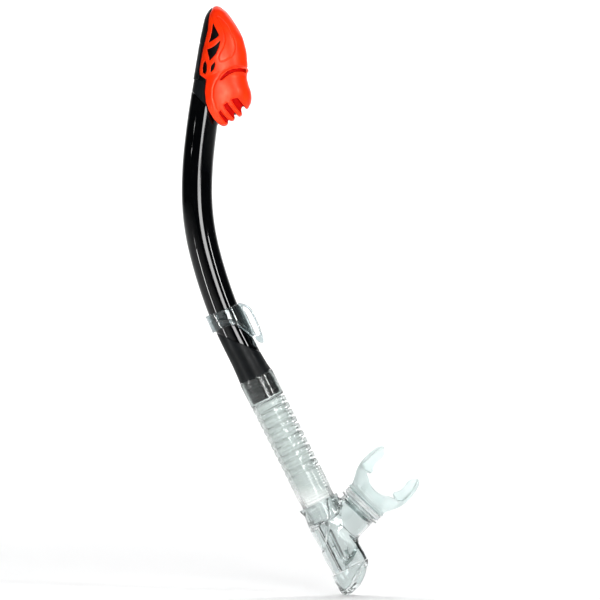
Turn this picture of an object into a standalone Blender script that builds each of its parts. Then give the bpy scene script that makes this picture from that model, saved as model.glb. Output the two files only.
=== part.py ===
"""A dry-top snorkel as an assembly of its real pieces, each in its own named object.

Frame: +Z up, +X towards the mouthpiece, the snorkel's middle plane is y = 0. The origin is the
middle of the keeper clip's flat strap pad, where the mask strap holds the snorkel. Sizes below are
in millimetres and the scene is in metres.
"""

import math

import bmesh
import bpy
from mathutils import Matrix, Vector

MM = 0.001
GAP = 0.3  # clearance between pieces that touch, mm

# ---- driving dimensions, mm and degrees -------------------------------------------------------
BARREL_R = 12.0
BARREL_BORE_R = 10.5
PAD_REACH = 15.5  # from the barrel's middle line to the strap pad's face
CLIP_LEAN = -25.0  # the barrel's lean at the clip, from vertical towards +X
# (distance up the barrel from the clip, lean there): the barrel bends in long arcs between these
LEANS = (
    (-41.6, -26.6), (-14.3, -28.0), (0, CLIP_LEAN), (20, -20.8), (65, -14), (112, 0), (143, 6),
    (189, 9.5),
)
HEAD_S = 189.0  # where the dry top's own frame sits on the middle line
HEAD_LEAN = 9.5
HOSE_LEAN = -26.6
HOSE_TOP_S = -41.9  # the hose's upper end
CHAMBER_S = -151.4  # the chamber's upper edge
FLEX_S = -96.0  # the middle of the hose's bend
BARREL_TOP_CUT = (-9.9, -0.76)  # the barrel's slanted top: height at the middle line, and slope
BARREL_FOOT_CUT = (-11.7, -1.18)  # the same for its lower end
CUT_FADE = 45.0  # length over which the slant of an end dies away along the barrel

HOSE_R = 14.0
HOSE_BORE_R = 10.4
SPIGOT_R = 11.7
GROOVES = 11
GROOVE_PITCH = 6.1
GROOVE_DEPTHS = (0.7, 2.7)  # at the hose's left and right
FIRST_GROOVE_S = -63.4

CHAMBER_R = 15.6
SOCKET_R = 13.7
SOCKET_DEPTH = 13.5
CHAMBER_LENGTH = 56.0
DUCT_START = 16.0
DUCT_FACE = -8.6  # the flat rear wall of the chamber, which the duct cover closes
WALL = 1.7

PORT_LEAN = 43.4
PORT_MIDDLE = (27.4, 0.0)  # where the port's axis meets the chamber's: down from its top, and right
PORT_REACH = 27.7  # from there to the flange
PORT_R = 15.6
PORT_BORE_R = 13.9
PORT_SPIGOT_R = 13.7
PORT_SPIGOT_BORE_R = 11.8
FLANGE_R = 17.9
PORT_SPIGOT = 11.0  # how far the port runs on past its flange

SEAT_TILT = 24.0  # the purge seat's face against the chamber's axis
SEAT_PLACE = (49.5, 2.6)
SEAT_THICK = 1.8
FLAP_R = 7.6

SEAT_U = 16.0  # height of the inlet's rim in the dry top's frame
PIPE_R = 9.4
PIPE_BORE_R = 7.8
REAR_WALL = 2.4
PIN_PLACE = (12.6, 19.0)  # the lever's pin in the dry top's frame: forward, up
PIN_R = 1.2
OPEN_ANGLE = 25.0
FLOAT_TRAVEL = 4.2  # from the open rest position up to shut
LEVER_ARM = 10.0

RING_SIDES = 24


# ---- placing ----------------------------------------------------------------------------------
def lean_at(s):
    """Lean of the middle line at distance s above the clip, in degrees."""
    if s <= LEANS[0][0]:
        return HOSE_LEAN
    for (s0, a0), (s1, a1) in zip(LEANS, LEANS[1:]):
        if s <= s1:
            return a0 + (a1 - a0) * (s - s0) / (s1 - s0)
    return LEANS[-1][1]


def spine(s):
    """Point (x, z) of the middle line at distance s above the clip, by summing short steps."""
    lean = math.radians(CLIP_LEAN)
    x, z = -PAD_REACH * math.cos(lean), PAD_REACH * math.sin(lean)
    steps = max(1, int(abs(s)))
    step = s / steps
    for i in range(steps):
        lean = math.radians(lean_at((i + 0.5) * step))
        x += step * math.sin(lean)
        z += step * math.cos(lean)
    return x, z


def frame_at(s):
    """Matrix of the frame on the middle line: local Z along it, local X to its right, in metres."""
    x, z = spine(s)
    turn = Matrix.Rotation(math.radians(lean_at(s)), 4, "Y")
    return Matrix.Translation((x * MM, 0, z * MM)) @ turn


def empty(name, matrix, parent=None):
    obj = bpy.data.objects.new(name, None)
    bpy.context.scene.collection.objects.link(obj)
    obj.parent = parent
    obj.matrix_world = matrix
    bpy.context.view_layer.update()
    return obj


def offset(matrix, x=0.0, y=0.0, z=0.0, lean=0.0):
    """A frame moved and leaned from another, in that one's own axes. Lengths are in mm."""
    move = Matrix.Translation((x * MM, y * MM, z * MM))
    return matrix @ move @ Matrix.Rotation(math.radians(lean), 4, "Y")


# ---- materials --------------------------------------------------------------------------------
def material(name, colour, roughness, transmission=0.0, metallic=0.0):
    made = bpy.data.materials.new(name)
    made.use_nodes = True
    shader = made.node_tree.nodes["Principled BSDF"]
    shader.inputs["Base Color"].default_value = (*colour, 1)
    shader.inputs["Roughness"].default_value = roughness
    shader.inputs["Transmission Weight"].default_value = transmission
    shader.inputs["Metallic"].default_value = metallic
    return made


# ---- solids -----------------------------------------------------------------------------------
def finish_mesh(name, bm, parent, look, helper):
    """Makes an object from a bmesh in mm, in its parent's frame."""
    bmesh.ops.recalc_face_normals(bm, faces=bm.faces)
    bmesh.ops.scale(bm, vec=(MM, MM, MM), verts=bm.verts)
    mesh = bpy.data.meshes.new(name)
    bm.to_mesh(mesh)
    bm.free()
    mesh.shade_smooth()
    mesh.set_sharp_from_angle(angle=math.radians(35))
    obj = bpy.data.objects.new(name, mesh)
    bpy.context.scene.collection.objects.link(obj)
    obj.parent = parent
    if helper:
        obj.hide_render = True
        obj.display_type = "WIRE"
    else:
        mesh.materials.append(look)
    return obj


def skin(name, rings, parent, look=None, looped=False, helper=False):
    """Bridges rings of equal size into one closed solid: capped ends, or looped back to the first."""
    bm = bmesh.new()
    rows = [[bm.verts.new(p) for p in ring] for ring in rings]
    pairs = list(zip(rows, rows[1:]))
    if looped:
        pairs.append((rows[-1], rows[0]))
    for low, high in pairs:
        for i in range(len(low)):
            j = (i + 1) % len(low)
            bm.faces.new((low[i], low[j], high[j], high[i]))
    if not looped:
        bm.faces.new(rows[0])
        bm.faces.new(list(reversed(rows[-1])))
    return finish_mesh(name, bm, parent, look, helper)


def prism(name, outline, y0, y1, parent, look=None, helper=False):
    """An outline of (x, z) points extruded along Y."""
    return skin(name, [[(x, y, z) for x, z in outline] for y in (y0, y1)], parent, look, helper=helper)


def circle(radius, z=0.0, x=0.0, sides=RING_SIDES, depth=None):
    """A ring in the XY plane, or an ellipse where depth gives its half width along Y."""
    depth = radius if depth is None else depth
    turns = [2 * math.pi * i / sides for i in range(sides)]
    return [(x + radius * math.cos(t), depth * math.sin(t), z) for t in turns]


def egg(back, front, depth, z, sides=RING_SIDES, widest=0.36):
    """A ring from x = back to x = front whose widest place is a share of the way along."""
    middle = back + (front - back) * widest
    ring = []
    for i in range(sides):
        t = 2 * math.pi * i / sides
        reach = (front - middle) if math.cos(t) > 0 else (middle - back)
        ring.append((middle + reach * math.cos(t), depth * math.sin(t), z))
    return ring


def turned(name, profile, parent, look=None, bore=None, sides=RING_SIDES, helper=False):
    """A turned solid about Z from (radius, z) points, with an inner profile where it is hollow."""
    rings = [circle(r, z, sides=sides) for r, z in profile]
    if bore:
        rings += [circle(r, z, sides=sides) for r, z in reversed(bore)]
    return skin(name, rings, parent, look, looped=bool(bore), helper=helper)


def arc(cx, cz, radius, start, end, points):
    """Points on an arc of an (x, z) outline; angles in degrees from +X towards +Z."""
    turns = [math.radians(start + (end - start) * i / (points - 1)) for i in range(points)]
    return [(cx + radius * math.cos(t), cz + radius * math.sin(t)) for t in turns]


def boolean(obj, other, operation):
    made = obj.modifiers.new(operation.lower(), "BOOLEAN")
    made.operation = operation
    made.object = other
    made.solver = "EXACT"


def cut(obj, *others):
    for other in others:
        boolean(obj, other, "DIFFERENCE")


def join(obj, *others):
    for other in others:
        boolean(obj, other, "UNION")


def block(name, low, high, parent, helper=True):
    """A box between two corners, as a helper."""
    x0, y0, z0 = low
    x1, y1, z1 = high
    outline = [(x0, z0), (x1, z0), (x1, z1), (x0, z1)]
    return prism(name, outline, y0, y1, parent, helper=helper)


# ---- barrel and its foot ----------------------------------------------------------------------
def slanted_ring(s, radius, slope, sides=RING_SIDES):
    """A ring round the middle line, whose plane slopes by slope along its local X. World mm."""
    ring = []
    for i in range(sides):
        t = 2 * math.pi * i / sides
        across, depth = radius * math.cos(t), radius * math.sin(t)
        here = s + slope * across
        x, z = spine(here)
        lean = math.radians(lean_at(here))
        ring.append((x + across * math.cos(lean), depth, z - across * math.sin(lean)))
    return ring


def barrel(look):
    """The long curved tube, cut on a slant at both ends."""
    top, top_slope = HEAD_S + BARREL_TOP_CUT[0], BARREL_TOP_CUT[1]
    foot, foot_slope = BARREL_FOOT_CUT
    count = 26
    rings = []
    for radius, order in ((BARREL_R, range(count)), (BARREL_BORE_R, reversed(range(count)))):
        for i in order:
            s = foot + (top - foot) * i / (count - 1)
            near_top = max(0.0, 1 - (top - s) / CUT_FADE)
            near_foot = max(0.0, 1 - (s - foot) / CUT_FADE)
            rings.append(slanted_ring(s, radius, top_slope * near_top + foot_slope * near_foot))
    return skin("barrel", rings, None, look, looped=True)


def barrel_foot(look):
    """The matt connector: a sleeve inside the barrel, a flared neck, and a ribbed spigot."""
    cut_s, slope = BARREL_FOOT_CUT
    sleeve, sleeve_bore = BARREL_BORE_R - GAP, 9.2
    end = CHAMBER_S + 90.8
    rings = [
        slanted_ring(cut_s + 17, sleeve, 0.0),
        slanted_ring(cut_s - GAP, sleeve, slope),
        slanted_ring(cut_s - GAP, BARREL_R, slope),
        slanted_ring(-33, 12.6, 0.25 * slope),
        slanted_ring(HOSE_TOP_S + GAP, 13.4, 0.0),
        slanted_ring(HOSE_TOP_S + GAP, SPIGOT_R, 0.0),
    ]
    for rib in range(3):
        s = HOSE_TOP_S - 5 - 4.4 * rib
        rings += [slanted_ring(s + 1.2, SPIGOT_R, 0.0), slanted_ring(s, SPIGOT_R + 0.5, 0.0)]
        rings.append(slanted_ring(s - 0.8, SPIGOT_R, 0.0))
    rings += [slanted_ring(end + 1.0, SPIGOT_R, 0.0), slanted_ring(end, SPIGOT_R - 0.8, 0.0)]
    rings += [slanted_ring(end, 9.6, 0.0), slanted_ring(-33, 9.6, 0.0)]
    rings += [slanted_ring(cut_s - 6, sleeve_bore, 0.0), slanted_ring(cut_s + 17, sleeve_bore, 0.0)]
    return skin("barrel_foot", rings, None, look, looped=True)


# ---- flexible hose ----------------------------------------------------------------------------
def hose(parent, look):
    """Clear silicone hose: smooth bore, and ring grooves that are deeper on the right."""
    sides = 20

    def row(s, share):
        ring = []
        for i in range(sides):
            t = 2 * math.pi * i / sides
            shallow, deep = GROOVE_DEPTHS
            radius = HOSE_R - share * (shallow + (deep - shallow) * (0.5 + 0.5 * math.cos(t)))
            ring.append((radius * math.cos(t), radius * math.sin(t), s - FLEX_S))
        return ring

    rings = [row(HOSE_TOP_S, 0)]
    for i in range(GROOVES):
        s = FIRST_GROOVE_S - i * GROOVE_PITCH
        rings += [row(s + 0.9, 0), row(s + 0.35, 1), row(s - 0.35, 1), row(s - 0.9, 0)]
    shoulder = CHAMBER_S + 7.5
    end = CHAMBER_S - SOCKET_DEPTH + 1.0
    neck = SOCKET_R - GAP
    for radius, s in ((HOSE_R, shoulder), (neck, shoulder), (neck, end), (HOSE_BORE_R, end)):
        rings.append(circle(radius, s - FLEX_S, sides=sides))
    wide = SPIGOT_R + 0.5 + GAP
    for radius, s in ((HOSE_BORE_R, -62.5), (wide, -61.5), (wide, HOSE_TOP_S)):
        rings.append(circle(radius, s - FLEX_S, sides=sides))
    return skin("flex_hose", rings, parent, look, looped=True)


# ---- keeper clip ------------------------------------------------------------------------------
CLIP_BORE_R = 12.8
CLIP_OUT_R = 14.6
CLIP_TOP = 16.2
CLIP_TOP_SLOPE = -0.07
CLIP_FOOT = 3.2  # the band's lower edge away from the pad
PAD_LOW = -12.2
PAD_TOP = 12.8
LAND_TOP = 8.4  # the raised land that the strap bears on
PAD_HALF = 8.0
# side outline of the springy tongue: over the pad's top, down, and a barb turned inwards
TONGUE = (
    (12.9, 16.3), (15.0, 15.2), (16.9, 13.9), (18.5, 12.3), (19.9, 10.2), (20.8, 7.6), (21.1, 4.5),
    (21.0, -2),
    (20.8, -8), (20.3, -13), (19.6, -17), (18.7, -20.4), (16.4, -19.7), (14.9, -18.1), (14.1, -16.3),
    (14.0, -13.5),
    (15.0, -13.1), (16.7, -13.9), (18.3, -13.5), (19.1, -11), (19.4, -5), (19.4, 3), (19.1, 6.5),
    (18.4, 9.0),
    (17.2, 11.0), (15.6, 12.3), (12.9, 13.0),
)


def clip_edge(t):
    """Height of the band's lower edge at angle t: it sweeps down to the strap pad."""
    share = max(0.0, min(1.0, (math.cos(t) + 0.28) / 1.14))
    return CLIP_FOOT + (PAD_LOW - CLIP_FOOT) * share**3


def keeper_clip(parent, look):
    """The clear clip that slides on the barrel and hooks over the mask strap."""
    angles = [2 * math.pi * i / 32 for i in range(32)]
    rings = []
    corners = ((CLIP_OUT_R, False), (CLIP_OUT_R, True), (CLIP_BORE_R, True), (CLIP_BORE_R, False))
    for radius, upper in corners:
        ring = [(radius * math.cos(t), radius * math.sin(t), clip_edge(t)) for t in angles]
        if upper:
            ring = [(x, y, CLIP_TOP + CLIP_TOP_SLOPE * x) for x, y, _ in ring]
        rings.append(ring)
    clip = skin("keeper_clip", rings, parent, look, looped=True)
    pad_high = (PAD_REACH - 0.4, PAD_HALF, PAD_TOP)
    pad = block("clip_pad", (CLIP_BORE_R + 0.8, -PAD_HALF, PAD_LOW), pad_high, parent)
    land_half = PAD_HALF - 0.4
    land_low = (CLIP_BORE_R + 1.2, -land_half, PAD_LOW + 0.3)
    land = block("clip_land", land_low, (PAD_REACH, land_half, LAND_TOP), parent)
    bore_r = CLIP_BORE_R + 0.2
    bore = turned("clip_bore", [(bore_r, -25), (bore_r, 25)], parent, sides=32, helper=True)
    cut(pad, bore)
    tongue = prism("clip_tongue", TONGUE, -PAD_HALF + 0.5, PAD_HALF - 0.5, parent, helper=True)
    join(clip, pad, tongue, land)
    return clip


# ---- chamber: main body, duct cover, purge cover ----------------------------------------------
# (distance down from the top edge, left reach, right reach, half depth)
CHAMBER_SECTIONS = (
    (-0.6, 16.7, 16.1, 16.3),
    (1.6, 16.3, 15.8, 16.0),
    (3.0, 15.7, 15.6, 15.7),
    (14, 15.6, 15.4, 15.4),
    (26, 15.8, 14.7, 15.0),
    (38, 15.8, 14.2, 14.5),
    (46, 15.8, 14.3, 14.0),
    (51, 15.7, 14.7, 13.7),
    (CHAMBER_LENGTH, 15.6, 14.6, 13.4),
)
COVER_SECTIONS = (
    (56.4, 16.4, 14.5, 13.4),
    (61, 16.5, 12.4, 12.7),
    (65.5, 16.5, 9.0, 11.8),
    (69.5, 16.2, 4.6, 10.3),
    (72.6, 15.4, -0.8, 8.0),
    (74.4, 13.6, -5.2, 5.0),
)
# the toe's hollow, whose front wall is thicker
COVER_INSIDE = (
    (54.4, 14.8, 13.1, 11.9), (57.5, 14.8, 12.0, 11.7), (60.8, 14.9, 7.7, 11.2),
    (64.6, 14.7, 2.3, 10.0),
    (67.4, 14.4, -1.7, 8.6), (69.6, 13.6, -6.0, 6.5), (71.0, 12.6, -9.0, 3.6),
)
OUTLET = ((-4, -66), (7.0, -59.0), (16, -64), (5, -76))
OUTLET_HALF = 4.5


def chamber_loft(name, sections, parent, shrink=0.0, left=None, extend=0.0, look=None, helper=True):
    """A solid through the sections, drawn in by shrink; left caps its reach to the left."""
    rings = []
    last = len(sections) - 1
    for i, (down, back, front, depth) in enumerate(sections):
        down += -extend if i == 0 else extend if i == last else 0
        reach = back - shrink if left is None else min(left, back - shrink)
        rings.append(egg(-reach, front - shrink, depth - shrink, -down, widest=0.5))
    return skin(name, rings, parent, look, helper=helper)


def port_tubes(parent):
    """The mouthpiece port as two helpers: its outside with the flange, and its stepped bore."""
    outside = [(PORT_R, 4 - PORT_REACH), (PORT_R, -0.2), (FLANGE_R, -0.2), (FLANGE_R, 1.3)]
    outside += [(PORT_SPIGOT_R, 1.3), (PORT_SPIGOT_R, PORT_SPIGOT)]
    bore = [(PORT_BORE_R, 9 - PORT_REACH), (PORT_BORE_R, -4), (PORT_SPIGOT_BORE_R, -1.5)]
    bore.append((PORT_SPIGOT_BORE_R, PORT_SPIGOT + 5))
    solid = turned("port_outside", outside, parent, helper=True)
    return solid, turned("port_bore", bore, parent, helper=True)


def airway_sections():
    """The chamber's air space below the hose socket, clear of the duct wall."""
    left = -DUCT_FACE - 1.6
    rows = [(15.2, left, 12.0, 12.0)]
    for down, _, front, depth in CHAMBER_SECTIONS[4:]:
        past = 3 if down == CHAMBER_LENGTH else 0
        rows.append((down + past, left, front - WALL, depth - WALL))
    return rows


def chamber(parent, port, look):
    """Clear main body: hose socket on top, mouthpiece port to the right, open below."""
    body = chamber_loft("chamber", CHAMBER_SECTIONS, parent, look=look, helper=False)
    rear = block("chamber_rear", (-30, -30, -CHAMBER_LENGTH - 5), (DUCT_FACE, 30, -DUCT_START), parent)
    cut(body, rear)
    outside, bore = port_tubes(port)
    join(body, outside)
    socket = turned("chamber_socket", [(SOCKET_R, 5), (SOCKET_R, -SOCKET_DEPTH)], parent, helper=True)
    throat = turned("chamber_throat", [(11.2, 0), (11.2, -14.6), (6.4, -16.4)], parent, helper=True)
    cut(body, socket, throat, chamber_loft("chamber_airway", airway_sections(), parent))
    cut(body, bore)
    return body


# (distance down, how far back) of the rear channel, which steps out like scales
DUCT_SCALES = (
    (DUCT_START + GAP, 15.9), (22, 15.8), (26.5, 15.4), (35.3, 14.6), (36.3, 15.8), (44.2, 15.8),
    (51, 14.9), (55.6, 15.0),
)
DUCT_DEEP = 13.2


def duct_cover(parent, look):
    """The rear exhaust channel: a clear shell behind the chamber, stepped like scales."""
    steps = [(down, out, 14.5, 15.2 - 0.045 * (down - DUCT_START)) for down, out in DUCT_SCALES]
    shell = chamber_loft("duct_cover", steps, parent, look=look, helper=False)
    front = block("duct_front", (DUCT_FACE - GAP, -30, -70), (40, 30, 5), parent)
    inner_steps = [(down, DUCT_DEEP, reach, width - 1.6) for down, _, reach, width in steps]
    inner_steps[0] = (DUCT_START + GAP + 1.6, *inner_steps[0][1:])
    inner_steps[-1] = (59.6, *inner_steps[-1][1:])
    inner = chamber_loft("duct_inside", inner_steps, parent)
    cut(shell, inner, front)
    return shell


def purge_cover(parent, look):
    """The toe of the snorkel: a clear scoop below the purge valve, with an outlet in its front."""
    cover = chamber_loft("purge_cover", COVER_SECTIONS, parent, look=look, helper=False)
    cut(cover, chamber_loft("purge_cover_inside", COVER_INSIDE, parent))
    cut(cover, prism("purge_outlet", OUTLET, -OUTLET_HALF, OUTLET_HALF, parent, helper=True))
    return cover


# ---- purge valve ------------------------------------------------------------------------------
def purge_seat(parent, chamber_frame, look):
    """Spoked plate across the airway, with a middle hole for the valve's stem."""
    seat = turned("purge_seat", [(17, -SEAT_THICK), (17, 0)], parent, look)
    airway = chamber_loft(
        "seat_outline", [(d, b - GAP, f - GAP, w - GAP) for d, b, f, w in airway_sections()], chamber_frame
    )
    boolean(seat, airway, "INTERSECT")
    cut(seat, turned("seat_hub", [(1.5, -6), (1.5, 6)], parent, sides=12, helper=True))
    for i in range(6):
        turn = 60 * i + 30
        wedge = arc(0, 0, 2.8, turn - 12, turn + 12, 3) + arc(0, 0, 6.2, turn + 22, turn - 22, 5)
        rings = [[(x, y, z) for x, y in wedge] for z in (-6, 6)]
        cut(seat, skin(f"seat_window_{i}", rings, parent, helper=True))
    return seat


def purge_valve(parent, look):
    """Silicone flap: a dished disc outside the seat, its stem through the hub and a barb inside."""
    profile = [(0.4, GAP + 1.9), (FLAP_R, GAP + 0.9), (FLAP_R, GAP), (1.1, GAP)]
    profile += [(1.1, -SEAT_THICK - 3.0), (2.1, -SEAT_THICK - 3.2), (0.5, -SEAT_THICK - 6.0)]
    return turned("purge_valve", profile, parent, look, sides=20)


# ---- mouthpiece -------------------------------------------------------------------------------
MOUTH_COLLAR_R = 16.2
MOUTH_BORE_R = PORT_SPIGOT_R + GAP
# (height above the flange, half width, half depth) of the mouthpiece's outside
MOUTH_SECTIONS = (
    (9.3, 16.9, 16.6), (12.0, 17.7, 15.7), (16.0, 19.5, 14.2), (20.0, 21.5, 13.0), (25.0, 23.2, 11.9),
    (31.0, 23.8, 10.7), (36.5, 23.6, 9.3), (41.5, 22.9, 7.7), (45.5, 21.6, 6.0), (48.4, 19.3, 4.2),
)
SHIELD_THICK = 2.6
TAB_HALF = 1.7
# inner outline of one bite tab, from the middle of the arch to the tip: the lug, then the bitten edge
BITE_EDGE = (
    (15.0, 24.2), (11.8, 25.8), (11.4, 28.2), (13.0, 30.0), (14.1, 33), (14.0, 37), (13.4, 41.3),
    (14.4, 44.6),
    (17.0, 46.6), (19.0, 52),
)


def oval(width, depth, z, power=3.0):
    """A ring between an ellipse and a rectangle, for the lip shield."""
    ring = []
    for i in range(RING_SIDES):
        t = 2 * math.pi * i / RING_SIDES
        c, s = math.cos(t), math.sin(t)
        share = 2 / power
        x = width * math.copysign(abs(c) ** share, c)
        y = depth * math.copysign(abs(s) ** share, s)
        ring.append((x, y, z))
    return ring


def shield_inside():
    """Outline of the space behind the lip shield, above and below the bite tabs."""
    half = [(8.0, 27.5), (17.5, 24.7), (21.0, 27.5)]
    half += [(w - SHIELD_THICK, z + 0.3) for z, w, _ in MOUTH_SECTIONS[5:-1]]
    half.append((half[-1][0] - 6.0, 54))
    return [(-x, z) for x, z in reversed(half)] + half


def mouthpiece(parent, look):
    """Silicone mouthpiece: collar over the port, neck, curved lip shield and two bite tabs."""
    collar = ((1.9, MOUTH_COLLAR_R), (7.3, MOUTH_COLLAR_R), (7.3, FLANGE_R), (8.9, FLANGE_R))
    rings = [circle(r, z) for z, r in collar]
    for i, (z, w, d) in enumerate(MOUTH_SECTIONS):
        rings.append(oval(w, d, z, power=2.0 + 0.6 * min(1.0, i / 4)))
    piece = skin("mouthpiece", rings, parent, look)
    edge = [(x, z) for x, z in BITE_EDGE]
    bottom = arc(0, 35.5, 17, -50, -130, 9)
    between = [(-x, z) for x, z in reversed(edge)] + list(reversed(bottom)) + edge
    cut(piece, prism("bite_gap", between, -30, 30, parent, helper=True))
    for side in (-1, 1):
        y0, y1 = sorted((side * TAB_HALF, side * 30))
        cut(piece, prism(f"shield_inside_{side}", shield_inside(), y0, y1, parent, helper=True))
    cut(piece, turned("mouth_bore", [(MOUTH_BORE_R, -3), (MOUTH_BORE_R, 11.6)], parent, helper=True))
    passage = [circle(11.4, 10.5, depth=10.8), circle(10.9, 15, depth=8.8), circle(10.4, 23.9, depth=7.6)]
    cut(piece, skin("mouth_passage", passage, parent, helper=True))
    return piece


def mouthpiece_band(parent, look):
    """Thin nylon band that grips the collar, in the groove between the flange and the rim."""
    inner, outer = MOUTH_COLLAR_R + GAP, MOUTH_COLLAR_R + 1.2
    bore = [(inner, 2.6), (inner, 6.6)]
    return turned("mouthpiece_band", [(outer, 2.6), (outer, 6.6)], parent, look, bore=bore)


# ---- dry top ----------------------------------------------------------------------------------
# (height, back, front, half depth) of the dry top's outside
TOP_SECTIONS = (
    (8, -12.2, 26.5, 14.5), (14, -12.2, 28.2, 15.6), (20.6, -12.2, 28.7, 16.2), (30, -12.2, 26.9, 16.0),
    (36, -12.2, 25.3, 15.3), (42, -12.1, 22.8, 14.3), (48, -11.8, 19.7, 12.9), (53, -11.6, 15.9, 11.3),
    (58.5, -10.9, 11.1, 9.3), (62, -9.7, 7.6, 7.4), (65.0, -7.9, 4.0, 5.4), (67.1, -5.4, 0.2, 2.8),
)
BULB_SECTIONS = (
    (23, -10, 26.0, 14.0), (18, -10, 28.1, 15.1), (11.5, -10, 30.9, 16.3), (5, -10, 34.2, 16.9),
    (0, -10, 35.2, 17.0), (-6, -10, 34.6, 16.8), (-12, -10, 32.4, 16.1), (-18, -10, 29.0, 15.0),
    (-26, -10, 24, 13.4),
)
# side outline of the red cover: up its rear edge and round its lower edge, (forward, up)
CAP_REAR = (
    (-6.0, 67.5), (-7.9, 60.3), (-7.9, 55.6), (-7.1, 47.9), (-7.7, 39.9), (-8.4, 31.8), (-8.5, 23.9),
    (-8.4, 16.0),
    (-7.4, 12.2), (-1.9, 9.2), (-1.6, 4), (-1.4, 0), (0.7, -7.8), (4.1, -14.3), (9.0, -19.9),
    (14.4, -23.7),
)
WINDOWS = (
    (
        (-3.8, 53.2), (-1.9, 50.3), (0.2, 47.6), (2.1, 45.0), (0.0, 42.2), (-4.6, 38.2), (-3.8, 41.9),
        (-3.6, 47.6),
    ),
    (
        (3.8, 40.6), (3.3, 35.3), (2.0, 30.1), (-1.6, 24.5), (-2.4, 26.9), (-3.5, 29.2), (-4.8, 32.5),
        (-2.2, 33.9),
        (0.9, 36.6),
    ),
    ((-5.0, 23.2), (-3.5, 20.6), (-2.8, 16.5), (-3.4, 13.6), (-5.2, 14.3), (-6.0, 18.1), (-5.9, 21.6)),
    ((2.3, 23.7), (2.9, 21.7), (2.4, 18.1), (0.7, 15.5), (0.3, 19.8)),
)
# lower edge of the red cover, round the tips of its four fingers
CAP_FOOT = (
    (9.0, -26.0), (12.9, -22.6), (15.0, -23.3), (17.4, -23.6), (19.6, -22.3), (20.4, -20.5),
    (19.9, -19.0), (20.1, -18.2),
    (21.1, -18.4), (22.9, -18.8), (24.5, -17.5), (24.9, -15.7), (23.7, -13.0), (24.2, -12.4),
    (25.4, -13.0), (26.9, -14.1),
    (28.4, -14.5), (29.7, -13.4), (30.1, -12.0), (28.6, -8.3), (28.8, -6.9), (29.6, -6.0),
    (30.7, -6.4), (32.0, -7.6),
    (33.0, -8.0), (34.0, -7.0), (35.0, -4.3), (37.0, -0.8),
)
# outlines of the recesses between the fingers
DRAINS = (
    (
        (12.0, -14.6), (12.7, -12.3), (15.6, -15.2), (20.6, -18.9), (21.5, -21.5), (18.2, -20.9), (15.3, -18.2),
    ),
    (
        (14.7, -8.1), (17.1, -5.4), (20.0, -8.5), (25.0, -12.8), (25.8, -15.6), (24.0, -17.0), (20.6, -14.3),
        (16.9, -10.9),
    ),
    (
        (19.9, -3.1), (20.9, -2.1), (24.2, -0.7), (25.2, -1.0), (27.5, -3.3), (31.0, -6.2),
        (31.0, -10.4), (29.1, -11.8),
        (26.6, -9.8), (23.3, -6.8),
    ),
)
DRAIN_DEPTH = 2.2  # the recesses' depth, with a wall of 1 mm behind them
SLIT = (
    (8.7, 10.7), (9.05, 12.2), (11.2, 15.9), (13.5, 18.7), (17.1, 20.8), (22.3, 22.5), (27.1, 22.7),
    (27.5, 19.9),
    (24.3, 20.3), (19.7, 19.2), (15.4, 16.6), (12.7, 14.0), (10.1, 10.8),
)
SLIT_DEPTH = 0.9
BULB_INSIDE_TOP = (6, -10, 33.5, 16.8)
FLOAT_BACK = 13.2
RAIL_REACH = 14.2
RAIL_HALF = 1.0
# (height, back, front, half depth) of the float
FLOAT_ROWS = (
    (-13.5, 14.2, 25.0, 7.5), (-11.0, FLOAT_BACK, 27.5, 9.5), (-4.0, FLOAT_BACK, 29.5, 10.6),
    (3.0, FLOAT_BACK, 29.0, 10.2),
)


def top_loft(name, sections, parent, shrink=0.0, rear_shrink=None, drop=0.0, look=None, helper=True):
    rings = []
    for i, (up, rear, front, depth) in enumerate(sections):
        rear += shrink if rear_shrink is None else rear_shrink
        up = up - drop if i == 0 else up - shrink * 0.8 if i == len(sections) - 1 else up
        rings.append(egg(rear, max(front - shrink, rear + 1.5), max(depth - shrink, 1.0), up))
    return skin(name, rings, parent, look, helper=helper)


def top_cap(parent, look):
    """The bright cover: windowed sides, a lip with a slit below it, and a fingered drain."""
    cap = top_loft("top_cap", TOP_SECTIONS, parent, look=look, helper=False)
    join(cap, top_loft("cap_bulb", BULB_SECTIONS, parent))
    upper_inside = top_loft("cap_inside", TOP_SECTIONS, parent, shrink=1.7, drop=2.0)
    cut(upper_inside, block("cap_lip_floor", (8.5, -30, -10), (60, 30, 22), parent))
    upper_bulb = list(BULB_SECTIONS[:3]) + [BULB_INSIDE_TOP]
    lower_bulb = [(7, *BULB_INSIDE_TOP[1:])] + list(BULB_SECTIONS[3:])
    cut(cap, upper_inside, top_loft("cap_bulb_upper", upper_bulb, parent, shrink=1.9))
    cut(cap, top_loft("cap_bulb_lower", lower_bulb, parent, shrink=DRAIN_DEPTH + 1.0, rear_shrink=1.2))
    rear = list(CAP_REAR) + [(14.4, -40), (-40, -40), (-40, 70)]
    foot = list(CAP_FOOT) + [(60, 0), (60, -60), (9, -60)]
    for name, outline in (("rear", rear), ("foot", foot)):
        cut(cap, prism(f"cap_{name}_cut", outline, -30, 30, parent, helper=True))
    for i, outline in enumerate(WINDOWS):
        cut(cap, prism(f"cap_window_{i}", outline, -30, 30, parent, helper=True))
    slit = prism("cap_slit", SLIT, -30, 30, parent, helper=True)
    cut(slit, top_loft("cap_slit_floor", BULB_SECTIONS[:5], parent, shrink=SLIT_DEPTH))
    cut(slit, top_loft("cap_slit_back", TOP_SECTIONS, parent, shrink=SLIT_DEPTH))
    cut(cap, slit)
    for i, outline in enumerate(DRAINS):
        drain = prism(f"cap_drain_{i}", outline, -30, 30, parent, helper=True)
        cut(drain, top_loft(f"cap_drain_floor_{i}", BULB_SECTIONS, parent, shrink=DRAIN_DEPTH))
        cut(cap, drain)
    return cap


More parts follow.
